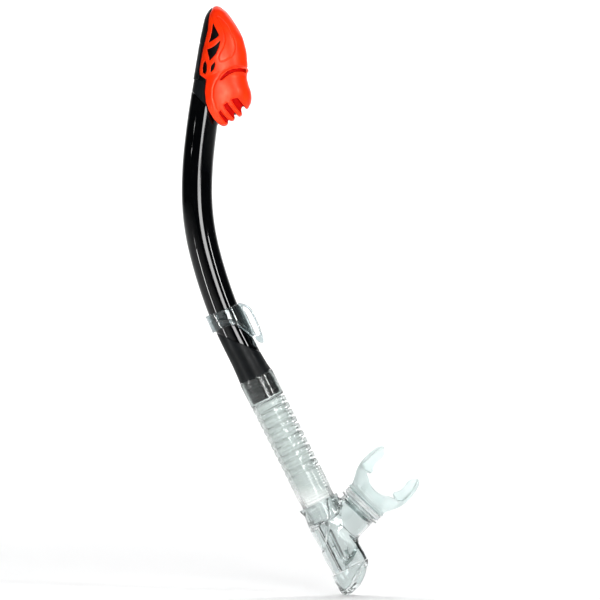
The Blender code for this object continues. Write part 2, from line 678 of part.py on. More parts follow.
def rear_shell(parent, look):
    """Black rear housing: the back wall, and the inner cheeks that close the cover's windows."""
    sections = [(8 + GAP, *TOP_SECTIONS[0][1:])] + list(TOP_SECTIONS[1:])
    shell = top_loft("rear_shell", sections, parent, shrink=2.1, look=look, helper=False)
    cut(shell, block("cheek_front", (6.0, -30, 0), (60, 30, 61.5), parent))
    strip = top_loft("shell_strip", sections, parent)
    seam = [(x - 0.4, z) for x, z in reversed(CAP_REAR[1:9])]
    keep = [(-40, 0), (-8.9, 0), *seam, (-6.6, 66), (-6.3, 80), (-40, 80)]
    boolean(strip, prism("strip_keep", keep, -30, 30, parent, helper=True), "INTERSECT")
    join(shell, strip)
    inside = top_loft("shell_inside", TOP_SECTIONS[:-1], parent, shrink=3.7, rear_shrink=REAR_WALL, drop=3.0)
    cut(shell, inside)
    return shell


def inlet_collar(parent, look):
    """Collar between barrel and dry top: a plug in the barrel, and the inlet pipe with its seat."""
    cut_u, slope = BARREL_TOP_CUT
    plug = BARREL_BORE_R - GAP
    to_head = Matrix.Diagonal((1 / MM,) * 3 + (1,)) @ parent.matrix_world.inverted() @ Matrix.Scale(MM, 4)

    def row(radius, up, incline=0.0):
        return [tuple(to_head @ Vector(p)) for p in slanted_ring(HEAD_S + up, radius, incline)]

    rings = [row(plug, -34), row(plug, -28), row(plug, cut_u + GAP, slope), row(11.7, cut_u + GAP, slope)]
    pipe = ((11.7, 8.0), (PIPE_R, 8.0), (PIPE_R, SEAT_U), (PIPE_BORE_R, SEAT_U))
    rings += [circle(r, z) for r, z in pipe]
    rings += [circle(PIPE_BORE_R, 8.0), row(9.2, -10), row(9.2, -34)]
    collar = skin("inlet_collar", rings, parent, look, looped=True)
    join(collar, block("float_rail", (10.6, -RAIL_HALF, -13), (RAIL_REACH, RAIL_HALF, 7.5), parent))
    x, z = PIN_PLACE
    for side in (-1, 1):
        y0, y1 = sorted((side * 6.3, side * 8.0))
        ear = [(x - 7.5, 9), (x - 4, 9), (x + 2.4, z - 1.2), *arc(x, z, 2.5, -20, 160, 7), (x - 7.5, 13)]
        join(collar, prism(f"ear_{side}", ear, y0, y1, parent, helper=True))
    pin_hole = prism("ear_hole", arc(x, z, PIN_R + GAP, 0, 330, 12), -20, 20, parent, helper=True)
    bore = turned("inlet_bore", [(PIPE_BORE_R, 8.1), (PIPE_BORE_R, 40)], parent, helper=True)
    cut(collar, pin_hole, bore)
    return collar


def valve_lever(parent, look):
    """Rocking lever, drawn shut: seal plate behind the pin, hub on it, arm to the float in front."""
    plate_u = SEAT_U + 2.1 - PIN_PLACE[1]
    disc = [(x - PIN_PLACE[0], y, plate_u) for x, y, _ in circle(8.4)]
    lever = skin("valve_lever", [disc, [(x, y, z + 1.5) for x, y, z in disc]], parent, look)
    hub = prism("lever_hub", arc(0, 0, 2.7, 0, 337.5, 16), -5.6, 5.6, parent, helper=True)
    web = block("lever_web", (-8, -4.5, plate_u), (0, 4.5, plate_u + 1.5), parent)
    rise = math.radians(OPEN_ANGLE / 2)
    ux, uz = math.cos(rise), math.sin(rise)
    arm = [(-uz * -0.9, -ux * 0.9), (LEVER_ARM * ux + 0.9 * uz, LEVER_ARM * uz - 0.9 * ux)]
    arm.append(((LEVER_ARM + 0.9) * ux, (LEVER_ARM + 0.9) * uz))
    arm.append((LEVER_ARM * ux - 0.9 * uz, LEVER_ARM * uz + 0.9 * ux))
    arm += [(-0.9 * uz, 0.9 * ux)]
    join(lever, web, hub, prism("lever_arm", arm, -2.4, 2.4, parent, helper=True))
    bore = prism("lever_bore", arc(0, 0, PIN_R + GAP, 0, 330, 12), -20, 20, parent, helper=True)
    hole = [[(x - PIN_PLACE[0], y, z) for x, y, _ in circle(1.9, sides=12)] for z in (-5, 5)]
    cut(lever, bore, skin("lever_rivet_hole", hole, parent, helper=True))
    return lever


def valve_seal(parent, look):
    """Soft disc under the lever's plate that closes the inlet."""
    x = -PIN_PLACE[0]
    low = SEAT_U + GAP - PIN_PLACE[1]
    profile = ((9.2, low), (9.2, low + 1.5), (1.9, low + 1.5), (1.9, low))
    rings = [[(x + px, y, z) for px, y, _ in circle(r)] for r, z in profile]
    return skin("valve_seal", rings, parent, look, looped=True)


def seal_button(parent, look):
    """Rivet that holds the seal to the lever."""
    x = -PIN_PLACE[0]
    low = SEAT_U + GAP - PIN_PLACE[1]
    profile = [(3.4, low - 1.5), (4.0, low - GAP), (1.6, low - GAP)]
    profile += [(1.6, low + 3.6), (2.9, low + 3.6), (2.4, low + 4.6)]
    rings = [[(x + px, y, z) for px, y, _ in circle(r, sides=16)] for r, z in profile]
    return skin("seal_button", rings, parent, look)


def pivot_pin(parent, look):
    x, z = PIN_PLACE
    return prism("pivot_pin", arc(x, z, PIN_R, 0, 330, 12), -8.6, 8.6, parent, look)


def float_loft(name, rows, parent, shrink=0.0, rear=0.0, look=None, helper=True):
    """The float's body: a rounded back that clears the barrel, and a deeper round front."""
    rings = [egg(back + rear, front - shrink, depth - shrink, up, sides=20) for up, back, front, depth in rows]
    return skin(name, rings, parent, look, helper=helper)


def float_key(parent):
    """The groove down the float's back that rides on the collar's rail."""
    high = (RAIL_REACH + GAP, RAIL_HALF + GAP, 30)
    return block("float_key", (FLOAT_BACK - 3, -RAIL_HALF - GAP, -20), high, parent)


def float_cup(parent, look):
    """Hollow float, open on top until its lid is welded on."""
    cup = float_loft("float_cup", FLOAT_ROWS, parent, look=look, helper=False)
    inner = [(up + (1.3 if i == 0 else 0), *rest) for i, (up, *rest) in enumerate(FLOAT_ROWS)]
    inner[-1] = (FLOAT_ROWS[-1][0] + 3, *FLOAT_ROWS[-1][1:])
    cut(cup, float_loft("float_inside", inner, parent, shrink=1.2, rear=3.2), float_key(parent))
    return cup


def float_lid(parent, look):
    """The float's lid, with the post that pushes the lever."""
    top, *rest = FLOAT_ROWS[-1]
    lid = float_loft("float_lid", [(top + GAP, *rest), (top + 1.5, *rest)], parent, look=look, helper=False)
    tip_x, tip_z = float_tip()
    post = block("float_post", (tip_x - 1.5, -2.0, top + 1.0), (tip_x + 1.5, 2.0, tip_z), parent)
    cut(lid, float_key(parent))
    join(lid, post)
    return lid


def float_tip():
    """Where the float's post ends, just under the end of the lever's arm at rest."""
    drop = math.radians(OPEN_ANGLE / 2)
    x = PIN_PLACE[0] + LEVER_ARM * math.cos(drop)
    z = PIN_PLACE[1] + LEVER_ARM * math.sin(drop) - FLOAT_TRAVEL - 1.6 - GAP
    return x - 0.8, z


# ---- assembly ---------------------------------------------------------------------------------
def main():
    for obj in list(bpy.data.objects):
        bpy.data.objects.remove(obj, do_unlink=True)

    gloss_black = material("gloss_black", (0.012, 0.012, 0.014), 0.12)
    matt_black = material("matt_black", (0.02, 0.021, 0.023), 0.45)
    red = material("red_cover", (0.9, 0.06, 0.012), 0.38)
    clear_hard = material("clear_plastic", (0.93, 0.96, 0.95), 0.05, transmission=1.0)
    clear_soft = material("clear_silicone", (0.88, 0.93, 0.92), 0.28, transmission=0.85)
    soft_black = material("black_silicone", (0.03, 0.03, 0.03), 0.6)
    steel = material("steel", (0.7, 0.7, 0.72), 0.25, metallic=1.0)
    nylon = material("nylon_band", (0.9, 0.92, 0.92), 0.3, transmission=0.5)

    barrel(gloss_black)
    barrel_foot(matt_black)
    keeper_clip(empty("clip_pivot", frame_at(0)), clear_hard)

    head = empty("head_mount", frame_at(HEAD_S))
    inlet_collar(head, matt_black)
    rear_shell(head, matt_black)
    top_cap(head, red)
    pivot_pin(head, steel)
    pin_place = offset(head.matrix_world, x=PIN_PLACE[0], z=PIN_PLACE[1], lean=OPEN_ANGLE)
    lever_pivot = empty("lever_pivot", pin_place)
    valve_lever(lever_pivot, matt_black)
    valve_seal(lever_pivot, soft_black)
    seal_button(lever_pivot, soft_black)
    float_guide = empty("float_guide", head.matrix_world)
    float_cup(float_guide, matt_black)
    float_lid(float_guide, matt_black)

    hose_bend = empty("hose_bend", frame_at(FLEX_S))
    hose(hose_bend, clear_soft)
    lower = empty("chamber_top", frame_at(CHAMBER_S))
    turn = PORT_LEAN - HOSE_LEAN
    port_middle = offset(lower.matrix_world, x=PORT_MIDDLE[1], z=-PORT_MIDDLE[0], lean=turn)
    port = empty("port_flange", offset(port_middle, z=PORT_REACH))
    chamber(lower, port, clear_hard)
    duct_cover(lower, clear_hard)
    purge_cover(lower, clear_hard)
    mouthpiece(port, clear_soft)
    mouthpiece_band(port, nylon)
    down, right = SEAT_PLACE
    valve = empty("purge_axis", offset(lower.matrix_world, x=right, z=-down, lean=180 - SEAT_TILT))
    purge_seat(valve, lower, clear_hard)
    purge_valve(valve, clear_soft)


main()
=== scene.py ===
"""Looks of the dry-top snorkel: smooth shells, moulded detail, clear plastics and studio light.

The shapes that show are built again here, finer than the CAD solids, from the same driving
dimensions. Organic shells come from distance fields, turned into meshes by surface nets; turned
and swept pieces are bridged rings. Sizes are in millimetres until a mesh is made.
"""

import math

import bmesh
import bpy
import numpy as np
from mathutils import Matrix, Vector


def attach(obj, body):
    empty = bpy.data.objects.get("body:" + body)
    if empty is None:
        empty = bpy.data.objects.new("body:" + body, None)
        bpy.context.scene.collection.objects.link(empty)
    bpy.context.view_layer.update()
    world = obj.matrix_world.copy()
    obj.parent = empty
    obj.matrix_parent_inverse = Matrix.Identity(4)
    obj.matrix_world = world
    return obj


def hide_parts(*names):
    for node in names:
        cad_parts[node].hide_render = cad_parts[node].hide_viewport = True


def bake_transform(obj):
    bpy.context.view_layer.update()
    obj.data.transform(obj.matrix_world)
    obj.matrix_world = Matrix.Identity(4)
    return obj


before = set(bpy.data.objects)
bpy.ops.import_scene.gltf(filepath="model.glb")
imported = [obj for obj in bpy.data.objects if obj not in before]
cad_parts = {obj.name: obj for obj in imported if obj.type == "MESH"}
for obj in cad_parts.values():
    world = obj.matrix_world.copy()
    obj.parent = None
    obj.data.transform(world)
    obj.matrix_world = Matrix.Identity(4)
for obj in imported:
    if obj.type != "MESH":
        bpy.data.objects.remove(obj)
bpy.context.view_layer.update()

MM = 0.001
TINY = 1e-9

# ---- driving dimensions, as in the CAD model: mm and degrees ----
BARREL_R, BARREL_BORE_R = 12.0, 10.5
CLIP_LEAN = -25.0
PAD_REACH = 15.5
LEANS = (
    (-41.6, -26.6), (-14.3, -28.0), (0, CLIP_LEAN), (20, -20.8), (65, -14), (112, 0), (143, 6),
    (189, 9.5),
)
HEAD_S, FLEX_S, HOSE_TOP_S, CHAMBER_S = 189.0, -96.0, -41.9, -151.4
HOSE_LEAN = -26.6
BARREL_TOP_CUT = (-9.9, -0.76)
BARREL_FOOT_CUT = (-11.7, -1.18)
CUT_FADE = 45.0
PORT_LEAN, PORT_DOWN, PORT_REACH = 43.4, 27.4, 27.7
PORT_R, PORT_BORE_R, PORT_SPIGOT_R, PORT_SPIGOT_BORE_R = 15.6, 13.9, 13.7, 11.8
FLANGE_R = 17.9
SOCKET_R, SOCKET_DEPTH = 13.7, 13.5
CHAMBER_LENGTH = 56.0
DUCT_START, DUCT_FACE = 16.0, -8.6
HOSE_R, HOSE_BORE_R, SPIGOT_R = 14.0, 10.4, 11.7
GROOVES, GROOVE_PITCH, FIRST_GROOVE_S = 11, 6.1, -63.4
GROOVE_DEPTHS = (0.7, 2.7)
BORE_PITCH, BORE_RIPPLE = 2.44, 0.22
GAP = 0.3


# ---- placing ----
def lean_at(s):
    """Lean of the barrel's middle line at distance s above the clip, in degrees."""
    if s <= LEANS[0][0]:
        return HOSE_LEAN
    for (s0, a0), (s1, a1) in zip(LEANS, LEANS[1:]):
        if s <= s1:
            return a0 + (a1 - a0) * (s - s0) / (s1 - s0)
    return LEANS[-1][1]


def middle_line():
    """The middle line as arrays of distance, x and z, summed in short steps up and down."""
    step = 0.25
    lean = math.radians(CLIP_LEAN)
    stations, xs, zs = [0.0], [-PAD_REACH * math.cos(lean)], [PAD_REACH * math.sin(lean)]
    for way, reach in ((1, 200), (-1, 190)):
        x, z, s = xs[0], zs[0], 0.0
        made = []
        for _ in range(int(reach / step)):
            lean = math.radians(lean_at(s + way * step / 2))
            x += way * step * math.sin(lean)
            z += way * step * math.cos(lean)
            s += way * step
            made.append((s, x, z))
        rows = list(zip(stations, xs, zs))
        rows = rows + made if way > 0 else made[::-1] + rows
        stations, xs, zs = ([row[i] for row in rows] for i in range(3))
    return np.array(stations), np.array(xs), np.array(zs)


LINE_S, LINE_X, LINE_Z = middle_line()


def spine(s):
    """Point (x, z) of the middle line at distance s above the clip."""
    return float(np.interp(s, LINE_S, LINE_X)), float(np.interp(s, LINE_S, LINE_Z))


def frame_at(s):
    """Frame on the middle line in mm: local Z along it, local X to its right."""
    x, z = spine(s)
    return Matrix.Translation((x, 0, z)) @ Matrix.Rotation(math.radians(lean_at(s)), 4, "Y")


def moved(matrix, x=0.0, z=0.0, lean=0.0):
    """The frame shifted in its own X and Z, then turned about its Y."""
    return matrix @ Matrix.Translation((x, 0, z)) @ Matrix.Rotation(math.radians(lean), 4, "Y")


HEAD = frame_at(HEAD_S)
CLIP = frame_at(0)
CHAMBER = frame_at(CHAMBER_S)
PORT = moved(moved(CHAMBER, z=-PORT_DOWN, lean=PORT_LEAN - HOSE_LEAN), z=PORT_REACH)


# ---- meshes ----
def shown(name, data):
    """A new object in the scene."""
    obj = bpy.data.objects.new(name, data)
    bpy.context.scene.collection.objects.link(obj)
    return obj


def place(obj, body, nodes, look):
    """Puts a finished piece on its body, in place of its CAD nodes, with its material."""
    obj.data.materials.clear()
    obj.data.materials.append(look)
    if body:
        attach(obj, body)
    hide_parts(*nodes)
    return obj


def mesh_object(name, verts, faces, matrix=None, sharp=None):
    """An object from vertices in mm, in the row frame."""
    points = np.asarray(verts, dtype=np.float64)
    if matrix is not None:
        m = np.array(matrix)
        points = points @ m[:3, :3].T + m[:3, 3]
    mesh = bpy.data.meshes.new(name)
    mesh.from_pydata((points * MM).tolist(), [], faces)
    mesh.update()
    mesh.shade_smooth()
    if sharp:
        mesh.set_sharp_from_angle(angle=math.radians(sharp))
    return shown(name, mesh)


def skin(name, rings, matrix=None, looped=True, sharp=40):
    """Bridges rings of equal size into one closed surface."""
    count, size = len(rings), len(rings[0])
    verts = [p for ring in rings for p in ring]
    faces = []
    for r in range(count if looped else count - 1):
        low, high = r * size, ((r + 1) % count) * size
        for i in range(size):
            j = (i + 1) % size
            faces.append((low + i, low + j, high + j, high + i))
    if not looped:
        faces.append(tuple(reversed(range(size))))
        faces.append(tuple(range((count - 1) * size, count * size)))
    obj = mesh_object(name, verts, faces, matrix, sharp)
    outwards(obj)
    return obj


def outwards(obj):
    """Turns every face of a closed mesh outwards."""
    bm = bmesh.new()
    bm.from_mesh(obj.data)
    bmesh.ops.recalc_face_normals(bm, faces=bm.faces)
    bm.to_mesh(obj.data)
    bm.free()


def around(sides):
    """Angles of a full turn, in equal steps."""
    return [2 * math.pi * i / sides for i in range(sides)]


def circle(radius, z, sides=96):
    return [(radius * math.cos(t), radius * math.sin(t), z) for t in around(sides)]


def slanted_ring(s, radius, slope=0.0, sides=96):
    """A ring round the middle line, whose plane slopes by slope along its local X."""
    ring = []
    for t in around(sides):
        across, depth = radius * math.cos(t), radius * math.sin(t)
        here = s + slope * across
        x, z = spine(here)
        lean = math.radians(lean_at(here))
        ring.append((x + across * math.cos(lean), depth, z - across * math.sin(lean)))
    return ring


# ---- distance fields ----
class Field:
    """A grid of points in mm, on which shapes are written as distances: negative is inside."""

    def __init__(self, low, high, step):
        self.low, self.step = np.array(low, dtype=np.float32), step
        axes = [np.arange(a, b + step, step, dtype=np.float32) for a, b in zip(low, high)]
        self.x = axes[0][:, None, None]
        self.y = axes[1][None, :, None]
        self.z = axes[2][None, None, :]
        self.shape = tuple(len(a) for a in axes)

    def line(self, points):
        """Distance to an open line in the XZ plane, extruded along Y."""
        px, pz = self.x[:, 0, 0][:, None], self.z[0, 0, :][None, :]
        best = np.full((self.shape[0], self.shape[2]), 1e9, dtype=np.float32)
        for (x0, z0), (x1, z1) in zip(points, points[1:]):
            dx, dz = x1 - x0, z1 - z0
            share = np.clip(((px - x0) * dx + (pz - z0) * dz) / max(dx * dx + dz * dz, TINY), 0, 1)
            best = np.minimum(best, (px - x0 - share * dx) ** 2 + (pz - z0 - share * dz) ** 2)
        return np.sqrt(best)[:, None, :]

    def outline(self, points):
        """Distance to a closed outline in the XZ plane, negative inside it."""
        closed = list(points) + [points[0]]
        reach = self.line(closed)
        px, pz = self.x[:, 0, 0][:, None], self.z[0, 0, :][None, :]
        inside = np.zeros((self.shape[0], self.shape[2]), dtype=bool)
        for (x0, z0), (x1, z1) in zip(closed, closed[1:]):
            inside ^= ((z0 > pz) != (z1 > pz)) & (px < (x1 - x0) * (pz - z0) / (z1 - z0 or TINY) + x0)
        return np.where(inside[:, None, :], -reach, reach)

    def mesh(self, name, values, matrix, smooth=1):
        """Surface nets: one vertex in each cell that the surface crosses, one quad over each edge."""
        values = np.broadcast_to(values, self.shape).astype(np.float32)
        inside = values < 0
        cells = tuple(n - 1 for n in self.shape)
        total = np.zeros(cells + (3,), dtype=np.float32)
        hits = np.zeros(cells, dtype=np.int16)
        corners = [(i, j, k) for i in (0, 1) for j in (0, 1) for k in (0, 1)]

        def at(array, corner):
            return array[tuple(slice(c, c + n) for c, n in zip(corner, cells))]

        for a in corners:
            for axis in range(3):
                if a[axis]:
                    continue
                b = tuple(c + (1 if i == axis else 0) for i, c in enumerate(a))
                va, vb = at(values, a), at(values, b)
                crosses = at(inside, a) != at(inside, b)
                share = np.where(crosses, va / np.where(crosses, va - vb, 1), 0)
                hits += crosses
                for i in range(3):
                    total[..., i] += np.where(crosses, a[i] + (share if i == axis else 0), 0)
        used = hits > 0
        index = np.full(cells, -1, dtype=np.int64)
        index[used] = np.arange(int(used.sum()))
        corner = np.stack(np.nonzero(used), axis=1)
        points = (corner + total[used] / hits[used][:, None]) * self.step + self.low
        quads = []
        for axis in range(3):
            u, v = [i for i in range(3) if i != axis]
            span = [slice(1, n - 1) for n in self.shape]
            span[axis] = slice(0, self.shape[axis] - 1)
            ahead = list(span)
            ahead[axis] = slice(1, self.shape[axis])
            low, high = inside[tuple(span)], inside[tuple(ahead)]
            places = np.stack(np.nonzero(low != high), axis=1) + [s.start for s in span]
            flip = inside[tuple(places.T)] != (axis == 1)

            def cell_at(du, dv):
                cell = places.copy()
                cell[:, u] -= du
                cell[:, v] -= dv
                return index[tuple(cell.T)]

            loop = np.stack([cell_at(0, 0), cell_at(1, 0), cell_at(1, 1), cell_at(0, 1)], axis=1)
            loop[~flip] = loop[~flip][:, ::-1]
            quads.append(loop)
        quads = np.concatenate(quads)
        for _ in range(smooth):
            points = relaxed(points, quads)
        if volume(points, quads) < 0:
            quads = quads[:, ::-1]
        return mesh_object(name, points, quads.tolist(), matrix)


def relaxed(points, quads, amount=0.5):
    """One step of smoothing that pushes back what it shrinks."""
    a = np.concatenate([quads[:, [i, (i + 1) % 4]] for i in range(4)])
    a = np.concatenate([a, a[:, ::-1]])
    count = np.bincount(a[:, 0], minlength=len(points))[:, None]
    for share in (amount, -amount * 1.04):
        total = [np.bincount(a[:, 0], points[a[:, 1], i], len(points)) for i in range(3)]
        points = points + share * (np.stack(total, axis=1) / count - points)
    return points


def volume(points, quads):
    """Six times the signed volume inside a closed mesh of quads."""
    p = [points[quads[:, i]] for i in range(4)]
    first, second = np.cross(p[1], p[2]), np.cross(p[2], p[3])
    return float((np.einsum("ij,ij->i", p[0], first) + np.einsum("ij,ij->i", p[0], second)).sum())


def smooth_max(a, b, radius):
    """The greater of two fields, with the edge between them rounded."""
    share = np.clip(0.5 + 0.5 * (a - b) / radius, 0, 1)
    return b + (a - b) * share + radius * share * (1 - share)


def smooth_min(a, b, radius):
    return -smooth_max(-a, -b, radius)


def curve(value, rows, column):
    """A smooth curve through (position, values...) rows, read at value."""
    at = np.array([row[0] for row in rows])
    height = np.array([row[column] for row in rows])
    order = np.argsort(at)
    at, height = at[order], height[order]
    slope = np.gradient(height, at)
    i = np.clip(np.searchsorted(at, value) - 1, 0, len(at) - 2)
    width = at[i + 1] - at[i]
    t = np.clip((value - at[i]) / width, 0, 1)
    h00, h10 = 2 * t**3 - 3 * t**2 + 1, t**3 - 2 * t**2 + t
    h01, h11 = -2 * t**3 + 3 * t**2, t**3 - t**2
    return h00 * height[i] + h10 * width * slope[i] + h01 * height[i + 1] + h11 * width * slope[i + 1]


def level(x, y, back, front, depth, widest=0.36, power=2.0):
    """Level function of an egg-shaped section: its size times how far out a point is."""
    front, depth = np.maximum(front, back + 0.8), np.maximum(depth, 0.4)
    middle = back + (front - back) * widest
    reach = np.where(x > middle, front - middle, middle - back)
    size = ((np.abs(x - middle) / reach) ** power + (np.abs(y) / depth) ** power) ** (1 / power)
    return (size - 1) * np.minimum(reach, depth)


def rows_level(field, rows, widest=0.36, sign=1.0, shrink=0.0):
    """Level function of a shell through (height, back, front, half depth) sections."""
    z = sign * field.z
    back, front, depth = (curve(z, rows, i) for i in (1, 2, 3))
    return level(field.x, field.y, back + shrink, front - shrink, depth - shrink, widest)


def groove(distance, depth, width):
    """A rounded groove, or a ridge where depth is negative, along a line."""
    return depth * np.exp(-((distance / width) ** 2))


def step_up(distance, height, width):
    """A plateau inside an outline, with a rounded edge of that width."""
    return -height / (1 + np.exp(np.clip(distance * 4 / width, -30, 30)))


def arc(cx, cz, radius, start, end, points):
    """Points on a circle between two angles in degrees."""
    turns = [math.radians(start + (end - start) * i / (points - 1)) for i in range(points)]
    return [(cx + radius * math.cos(t), cz + radius * math.sin(t)) for t in turns]


def rounded(points, times=2, closed=True):
    """Cuts the corners of an outline, which turns it towards a smooth curve."""
    for _ in range(times):
        made = []
        pairs = list(zip(points, points[1:] + (points[:1] if closed else [])))
        for (x0, z0), (x1, z1) in pairs:
            made.append((0.75 * x0 + 0.25 * x1, 0.75 * z0 + 0.25 * z1))
            made.append((0.25 * x0 + 0.75 * x1, 0.25 * z0 + 0.75 * z1))
        points = made if closed else [points[0]] + made + [points[-1]]
    return points


# ---- materials ----
class Look:
    """A Principled material in the piece's own coordinates, in metres."""

    def __init__(self, name, colour, roughness, **sockets):
        self.material = bpy.data.materials.new(name)
        self.material.use_nodes = True
        self.nodes = self.material.node_tree.nodes
        self.links = self.material.node_tree.links
        self.shader = self.nodes["Principled BSDF"]
        self.colour, self.roughness = colour, roughness
        self.shader.inputs["Base Color"].default_value = (*colour, 1)
        self.shader.inputs["Roughness"].default_value = roughness
        for socket, value in sockets.items():
            self.shader.inputs[socket.replace("_", " ")].default_value = value
        self.place = self.nodes.new("ShaderNodeTexCoord")
        self.height = None

    def noise(self, size_mm, detail=3.0, stretch=None):
        """Noise whose features are about size_mm across."""
        noise = self.nodes.new("ShaderNodeTexNoise")
        noise.inputs["Scale"].default_value = 1000 / size_mm
        noise.inputs["Detail"].default_value = detail
        source = self.place.outputs["Object"]
        if stretch:
            mapping = self.nodes.new("ShaderNodeMapping")
            mapping.inputs["Scale"].default_value = stretch
            self.links.new(source, mapping.inputs["Vector"])
            source = mapping.outputs["Vector"]
        self.links.new(source, noise.inputs["Vector"])
        return noise.outputs["Fac"]

    def ramp(self, source, low, high, start=0.3, end=0.7):
        """A value remapped from the noise's usual range to low..high."""
        made = self.nodes.new("ShaderNodeMapRange")
        for socket, value in (("From Min", start), ("From Max", end), ("To Min", low), ("To Max", high)):
            made.inputs[socket].default_value = value
        self.links.new(source, made.inputs["Value"])
        return made.outputs["Result"]

    def mottle(self, size_mm, other, share=1.0, start=0.35, end=0.65):
        """Varies the colour towards another one in soft patches."""
        self.blend_colour(self.ramp(self.noise(size_mm), 0, share, start, end), other)

    def blend_colour(self, factor, other):
        mix = self.nodes.new("ShaderNodeMix")
        mix.data_type = "RGBA"
        mix.inputs["B"].default_value = (*other, 1)
        linked = self.shader.inputs["Base Color"].links
        if linked:
            self.links.new(linked[0].from_socket, mix.inputs["A"])
        else:
            mix.inputs["A"].default_value = (*self.colour, 1)
        self.links.new(factor, mix.inputs["Factor"])
        self.links.new(mix.outputs["Result"], self.shader.inputs["Base Color"])

    def worn_edges(self, other, share=0.6):
        """Lighter colour where the surface turns sharply outwards."""
        geometry = self.nodes.new("ShaderNodeNewGeometry")
        self.blend_colour(self.ramp(geometry.outputs["Pointiness"], 0, share, 0.53, 0.62), other)

    def fade_down(self, other, start, end):
        """Another colour below a height, fading in between two heights in metres."""
        split = self.nodes.new("ShaderNodeSeparateXYZ")
        self.links.new(self.place.outputs["Object"], split.inputs["Vector"])
        self.blend_colour(self.ramp(split.outputs["Z"], 0.0, 1.0, start, end), other)

    def paint_shade_in_hollows(self, other, reach_mm, start=0.3, end=0.72):
        """Painted shade: a darker colour down in slots and creases, where ambient occlusion finds the surface
        hemmed in.
        """
        sky = self.nodes.new("ShaderNodeAmbientOcclusion")
        sky.inputs["Distance"].default_value = reach_mm * MM
        sky.samples = 8
        self.blend_colour(self.ramp(sky.outputs["AO"], 1.0, 0.0, start, end), other)

    def surface(self, mottle, smudges, *bumps):
        """The colour patches, roughness patches and grain that every piece has."""
        self.mottle(*mottle)
        self.smudges(*smudges)
        for bump in bumps:
            self.bump(*bump)
        return self

    def smudges(self, size_mm, spread):
        """Varies the roughness up and down in patches."""
        low, high = max(0.0, self.roughness - spread), self.roughness + spread
        self.links.new(self.ramp(self.noise(size_mm, 4), low, high), self.shader.inputs["Roughness"])

    def bump(self, size_mm, depth_mm, detail=2.0, stretch=None):
        """Adds moulded grain or ripple of a real depth."""
        made = self.nodes.new("ShaderNodeBump")
        made.inputs["Distance"].default_value = depth_mm * MM
        made.inputs["Strength"].default_value = 1.0
        self.links.new(self.noise(size_mm, detail, stretch), made.inputs["Height"])
        if self.height:
            self.links.new(self.height, made.inputs["Normal"])
        self.height = made.outputs["Normal"]
        self.links.new(self.height, self.shader.inputs["Normal"])


def gloss_black():
    look = Look(
        "gloss_black_abs", (0.0004, 0.0006, 0.0009), 0.05,
        IOR=1.5, Specular_IOR_Level=0.3, Coat_Weight=0.15, Coat_Roughness=0.03,
    )
    return look.surface((14, (0.0009, 0.001, 0.0013)), (9, 0.02), (16, 0.02, 1), (0.9, 0.0006)).material


def matt_black():
    look = Look("matt_black_moulding", (0.0012, 0.002, 0.0026), 0.42, IOR=1.5, Specular_IOR_Level=0.14)
    look.surface((5, (0.0025, 0.0035, 0.0045)), (4, 0.06), (0.45, 0.018), (6, 0.05, 1))
    look.worn_edges((0.02, 0.024, 0.028), 0.5)
    return look.material


def red_cover():
    look = Look("red_moulded_cover", (1.0, 0.034, 0.0015), 0.34, IOR=1.45, Specular_IOR_Level=0.45)
    look.shader.inputs["Specular Tint"].default_value = (1.0, 0.72, 0.5, 1)
    look.surface((7, (0.93, 0.02, 0.0015), 0.7), (3, 0.06), (0.5, 0.014), (9, 0.05, 1))
    look.worn_edges((1.0, 0.09, 0.01), 0.35)
    # painted shade: darker red down in the cover's slots and creases
    look.paint_shade_in_hollows((0.6, 0.004, 0.0), 3.0, 0.35, 0.8)
    return look.material


# Painted shade: a darker red for the floors of the cover's drain slots and slit, standing in for their shade.
def red_painted_shade():
    look = Look("red_cover_painted_shade", (0.5, 0.002, 0.0005), 0.5, IOR=1.45, Specular_IOR_Level=0.05)
    return look.surface((4, (0.4, 0.001, 0.0005)), (3, 0.05), (0.5, 0.014)).material


def clear_plastic():
    look = Look("clear_polycarbonate", (0.78, 0.82, 0.815), 0.04, IOR=1.44, Transmission_Weight=1.0)
    return look.surface((12, (0.74, 0.79, 0.785)), (5, 0.03), (7, 0.05, 2), (1.2, 0.003)).material


def clip_plastic():
    look = Look("clip_polycarbonate", (0.5, 0.57, 0.58), 0.07, IOR=1.54, Transmission_Weight=0.97)
    return look.surface((5, (0.46, 0.53, 0.54)), (3, 0.04), (4, 0.04, 2), (0.9, 0.004)).material


def clear_silicone():
    look = Look("clear_hose_silicone", (0.72, 0.765, 0.75), 0.14, IOR=1.4, Transmission_Weight=0.98)
    look.surface((6, (0.68, 0.73, 0.715)), (3, 0.05), (4, 0.05, 2), (0.6, 0.006))
    look.fade_down((0.96, 0.97, 0.965), -0.128, -0.142)
    return look.material


def pale_silicone():
    look = Look("pale_mouth_silicone", (0.8, 0.885, 0.875), 0.4, IOR=1.4, Transmission_Weight=0.58)
    return look.surface((6, (0.76, 0.855, 0.845)), (3, 0.06), (5, 0.06, 2), (0.5, 0.008)).material


def clear_nylon():
    look = Look("clear_nylon_band", (0.93, 0.96, 0.96), 0.15, IOR=1.53, Transmission_Weight=0.6)
    return look.surface((3, (0.86, 0.9, 0.9)), (2, 0.04), (0.6, 0.01)).material


def black_silicone():
    look = Look("black_seal_silicone", (0.025, 0.025, 0.027), 0.55, IOR=1.42)
    return look.surface((2, (0.04, 0.04, 0.042)), (2, 0.08), (0.3, 0.01)).material


def steel():
    look = Look("brushed_steel", (0.62, 0.62, 0.64), 0.22, Metallic=1.0)
    return look.surface((1.5, (0.5, 0.5, 0.52)), (1, 0.08), (0.12, 0.003, 2, (1, 0.05, 1))).material


BLACK_GLOSS, BLACK_MATT, RED, CLEAR = gloss_black(), matt_black(), red_cover(), clear_plastic()
HOSE_SOFT, MOUTH_SOFT, BAND = clear_silicone(), pale_silicone(), clear_nylon()
SEAL, STEEL = black_silicone(), steel()


